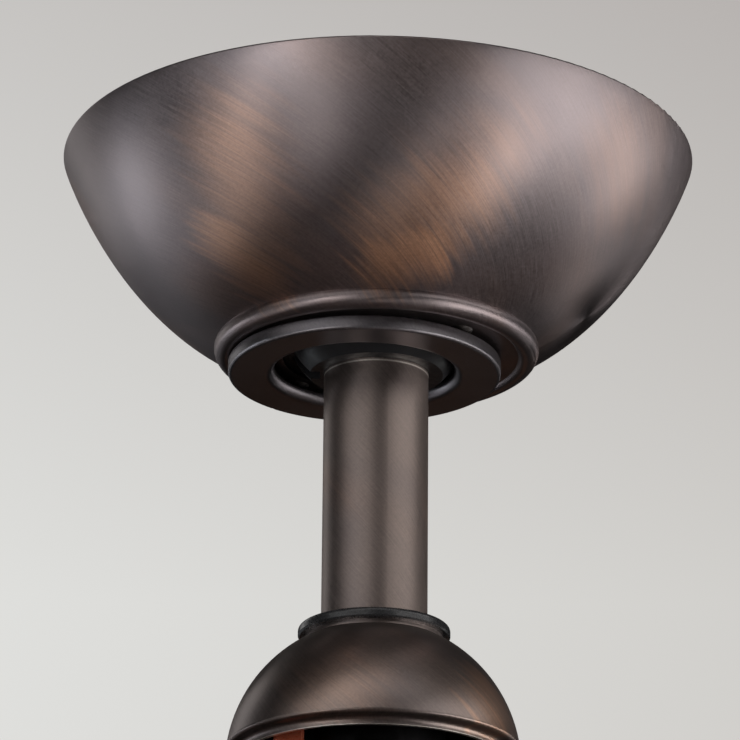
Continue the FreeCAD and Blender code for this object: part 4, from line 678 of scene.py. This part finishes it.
class FAN_OT_light(Operator):
    """Fitter pan, lamp board and frosted bowl"""

    bl_idname = "fan.light"
    bl_label = "Light"

    def execute(self, context):
        s = context.scene.fan_light
        dress(bronze("pan_bronze", (), 0.45), "light_pan")
        dress(plated("heat_sink_aluminium", (0.66, 0.66, 0.67), 0.36, 0.02), "heat_sink")
        dress(moulded("driver_case", (0.76, 0.76, 0.74), 0.42), "led_driver")
        f = Finish("solder_mask")
        x, y, z = f.parts(f.place)
        reach = f.vector("LENGTH", f.join(x, y, 0.0))
        track = f.sum("ABSOLUTE", f.sum("SUBTRACT", f.sum("FRACT", f.sum("DIVIDE", reach, 0.0055)), 0.5))
        line = f.range(track, 0.46, 0.40)
        mask = f.noise(f.stretched(f.place, (0.004, 0.004, 0.004)), 3.0)
        f.set(Base_Color=f.mix(f.sum("MULTIPLY", line, 0.10), s.board[:], (0.55, 0.56, 0.52)))
        f.set(Roughness=f.range(mask, 0.3, 0.7, 0.28, 0.40), Normal=f.bump(line, 0.00004, 0.6))
        dress(f.material, "led_board")
        f = Finish("phosphor")
        gel = f.noise(f.stretched(f.place, (0.0012, 0.0012, 0.0012)), 3.0)
        f.set(Base_Color=f.mix(f.range(gel, 0.3, 0.7), s.phosphor[:], tuple(c * 0.8 for c in s.phosphor)))
        f.set(Roughness=f.range(gel, 0.3, 0.7, 0.22, 0.36), Normal=f.bump(gel, 0.00008, 0.5))
        dress(f.material, "leds")
        f = Finish("frosted_glass")
        etch = f.noise(f.stretched(f.place, (0.0007, 0.0007, 0.0007)), 2.0)
        swirl = f.noise(f.stretched(f.place, (0.07, 0.07, 0.035)), 4.0, 0.6, 1.6)
        tint = f.mix(f.range(swirl, 0.42, 0.70, 0.0, 0.8), s.glass[:], (0.86, 0.70, 0.48))
        f.set(Base_Color=tint, Roughness=f.range(etch, 0.3, 0.7, 0.30, 0.42))
        f.set(IOR=1.5, Transmission_Weight=0.55)
        f.set(Subsurface_Weight=0.35, Subsurface_Scale=0.004, Normal=f.bump(etch, 0.00004, 0.4))
        dress(f.material, "glass_bowl")
        return {"FINISHED"}


# ---- studio ----------------------------------------------------------------------------------------
def facing(obj, target):
    obj.rotation_mode = "QUATERNION"
    obj.rotation_quaternion = (Vector(target) - obj.location).to_track_quat("-Z", "Y")


FLOOR_REACH = 60.0
LIT_PLACE = (0, 0, -0.06)  # the canopy's foot, which every soft box faces

# name, azimuth from the camera's side, elevation, width, height, watts, colour
SOFT_BOXES = (
    ("right_side", 70, -15, 2.50, 0.85, 26.7, "neutral"),
    ("left_front", -35, -25, 0.85, 1.70, 28.0, "neutral"),
    ("left_back", -113, -25, 0.85, 1.70, 15.6, "cool"),
    ("left_high", -39, 25, 2.80, 0.85, 7.5, "neutral"),
    ("right_back", 110, -15, 0.85, 0.85, 9.3, "neutral"),
    ("right_far", 130, -15, 0.85, 0.85, 2.2, "neutral"),
    ("right_high", 64, 25, 2.80, 0.85, 13.8, "neutral"),
    ("right_low", 51, -35, 1.73, 0.85, 15.0, "neutral"),
    ("over", 0, 50, 3.00, 0.85, 9.9, "neutral"),
    ("left_back_high", -135, 15, 0.85, 1.70, 4.4, "neutral"),
    ("left_low", -51, -35, 1.73, 0.85, 6.0, "neutral"),
    ("under", 18, -55, 0.85, 0.85, 1.8, "neutral"),
    ("left_strip", -50, -5, 0.85, 1.70, 4.2, "cool"),
    ("left_wash", -130, -15, 2.50, 0.85, 1.5, "cool"),
)


def soft_box(name, azimuth, elevation, distance, width, height, power, tint):
    """A rectangular light aimed at the canopy. Azimuth 0 is the camera's side."""
    light = bpy.data.lights.new(name, "AREA")
    light.shape = "RECTANGLE"
    light.size, light.size_y = width, height
    light.energy = power
    light.color = tint
    obj = bpy.data.objects.new(name, light)
    a, e = math.radians(azimuth), math.radians(elevation)
    at = Vector((math.sin(a) * math.cos(e), -math.cos(a) * math.cos(e), math.sin(e))) * distance
    obj.location = at + Vector(LIT_PLACE)
    bpy.context.collection.objects.link(obj)
    facing(obj, LIT_PLACE)
    obj.visible_camera = False
    return obj


# the paper's colour at its left and right, and the room that gloss shows, behind the fan and before it
LOW_PAPER = ((0.735, 0.735, 0.715, 1), (0.640, 0.628, 0.604, 1))
HIGH_PAPER = ((0.560, 0.545, 0.530, 1), (0.470, 0.445, 0.430, 1))
ROOM = ((0.0040, 0.0044, 0.0052, 1), (0.034, 0.032, 0.032, 1))


def surroundings():
    """Pale paper behind everything, and a dim room for reflections."""
    world = bpy.data.worlds.new("studio")
    bpy.context.scene.world = world
    world.use_nodes = True
    tree = world.node_tree
    tree.nodes.clear()
    new, link = tree.nodes.new, tree.links.new

    def math_node(operation, first, second, clamp=False):
        node = new("ShaderNodeMath")
        node.operation, node.use_clamp = operation, clamp
        for socket, value in zip(node.inputs, (first, second)):
            if isinstance(value, bpy.types.NodeSocket):
                link(value, socket)
            else:
                socket.default_value = value
        return node.outputs[0]

    def blend(factor, first, second):
        node = new("ShaderNodeMix")
        node.data_type = "RGBA"
        for socket, value in ((node.inputs[0], factor), (node.inputs[6], first), (node.inputs[7], second)):
            if isinstance(value, bpy.types.NodeSocket):
                link(value, socket)
            else:
                socket.default_value = value
        return node.outputs[2]

    way = new("ShaderNodeTexCoord").outputs["Generated"]
    split = new("ShaderNodeSeparateXYZ")
    link(way, split.inputs[0])
    x, y, z = split.outputs
    rise = math_node("DIVIDE", math_node("SUBTRACT", z, 0.30), 0.125, True)
    side = math_node("DIVIDE", math_node("ADD", x, 0.08), 0.16, True)
    low = blend(side, *LOW_PAPER)
    high = blend(side, *HIGH_PAPER)
    paper = blend(rise, low, high)
    front = math_node("ADD", math_node("MULTIPLY", y, -0.5), 0.5, True)
    room = blend(front, *ROOM)
    gloss = new("ShaderNodeLightPath").outputs["Is Glossy Ray"]
    background = new("ShaderNodeBackground")
    link(blend(gloss, paper, room), background.inputs["Color"])
    background.inputs["Strength"].default_value = 1.0
    output = new("ShaderNodeOutputWorld")
    link(background.outputs[0], output.inputs["Surface"])


class FAN_OT_stage(Operator):
    """Floor, soft lights, surroundings and camera"""

    bl_idname = "fan.stage"
    bl_label = "Stage"

    def execute(self, context):
        s = context.scene.fan_stage
        mesh = bpy.data.meshes.new("floor")
        shape = bmesh.new()
        bmesh.ops.create_grid(shape, x_segments=8, y_segments=8, size=FLOOR_REACH)
        bmesh.ops.translate(shape, verts=shape.verts, vec=(0, 0, -s.floor_drop))
        shape.to_mesh(mesh)
        shape.free()
        floor = bpy.data.objects.new("floor", mesh)
        context.collection.objects.link(floor)
        f = Finish("floor_paper")
        fleck = f.noise(f.stretched(f.place, (0.05, 0.05, 0.05)), 3.0)
        tone = f.mix(f.range(fleck, 0.3, 0.7, 0.0, 0.3), s.floor[:], tuple(c * 0.96 for c in s.floor))
        f.set(Base_Color=tone, Roughness=0.75)
        f.set(Emission_Color=(*s.floor, 1.0), Emission_Strength=s.floor_glow)
        floor.data.materials.append(f.material)
        floor.visible_glossy = False
        surroundings()
        for name, azimuth, elevation, width, height, power, tint in SOFT_BOXES:
            soft_box(name, azimuth, elevation, s.box_distance, width, height, power, getattr(s, tint)[:])
        camera_data = bpy.data.cameras.new("camera")
        camera = bpy.data.objects.new("camera", camera_data)
        context.collection.objects.link(camera)
        camera.location = (0, -s.camera_back, -s.camera_drop)
        look = Vector((s.aim_side, 0, -s.aim_drop)) - camera.location
        turn = look.to_track_quat("-Z", "Y").to_matrix() @ Matrix.Rotation(s.roll, 3, "Z")
        camera.rotation_mode = "QUATERNION"
        camera.rotation_quaternion = turn.to_quaternion()
        camera_data.sensor_width = 36.0
        camera_data.lens = s.lens
        camera_data.clip_start, camera_data.clip_end = 0.05, 100.0
        context.scene.camera = camera
        context.scene.view_settings.view_transform = "Standard"
        context.scene.view_settings.look = "None"
        return {"FINISHED"}


# ---- add-on ----------------------------------------------------------------------------------------
SETTINGS = (
    ("fan_bronze", BronzeSettings),
    ("fan_hanger", HangerSettings),
    ("fan_motor", MotorSettings),
    ("fan_blades", BladeSettings),
    ("fan_light", LightSettings),
    ("fan_stage", StageSettings),
)
STEPS = (
    FAN_OT_canopy,
    FAN_OT_hanger,
    FAN_OT_downrod,
    FAN_OT_dome_cover,
    FAN_OT_coupling,
    FAN_OT_wiring,
    FAN_OT_motor,
    FAN_OT_housing,
    FAN_OT_blade_irons,
    FAN_OT_blades,
    FAN_OT_switch_housing,
    FAN_OT_light,
    FAN_OT_stage,
)


class FAN_PT_sidebar(Panel):
    """Steps and settings of the ceiling fan"""

    bl_idname = "FAN_PT_sidebar"
    bl_label = "Ceiling Fan"
    bl_space_type = "VIEW_3D"
    bl_region_type = "UI"
    bl_category = "Ceiling Fan"

    def draw(self, context):
        for step in STEPS:
            self.layout.operator(step.bl_idname)
        for name, group in SETTINGS:
            column = self.layout.column(align=True)
            column.label(text=group.__doc__)
            for field in group.__annotations__:
                column.prop(getattr(context.scene, name), field)


def register():
    for name, group in SETTINGS:
        bpy.utils.register_class(group)
        setattr(bpy.types.Scene, name, PointerProperty(type=group))
    for step in STEPS:
        bpy.utils.register_class(step)
    bpy.utils.register_class(FAN_PT_sidebar)


def unregister():
    bpy.utils.unregister_class(FAN_PT_sidebar)
    for step in reversed(STEPS):
        bpy.utils.unregister_class(step)
    for name, group in reversed(SETTINGS):
        delattr(bpy.types.Scene, name)
        bpy.utils.unregister_class(group)


def main():
    register()
    bpy.ops.fan.canopy()
    bpy.ops.fan.hanger()
    bpy.ops.fan.downrod()
    bpy.ops.fan.dome_cover()
    bpy.ops.fan.coupling()
    bpy.ops.fan.wiring()
    bpy.ops.fan.motor()
    bpy.ops.fan.housing()
    bpy.ops.fan.blade_irons()
    bpy.ops.fan.blades()
    bpy.ops.fan.switch_housing()
    bpy.ops.fan.light()
    bpy.ops.fan.stage()


if __name__ == "__main__":
    main()
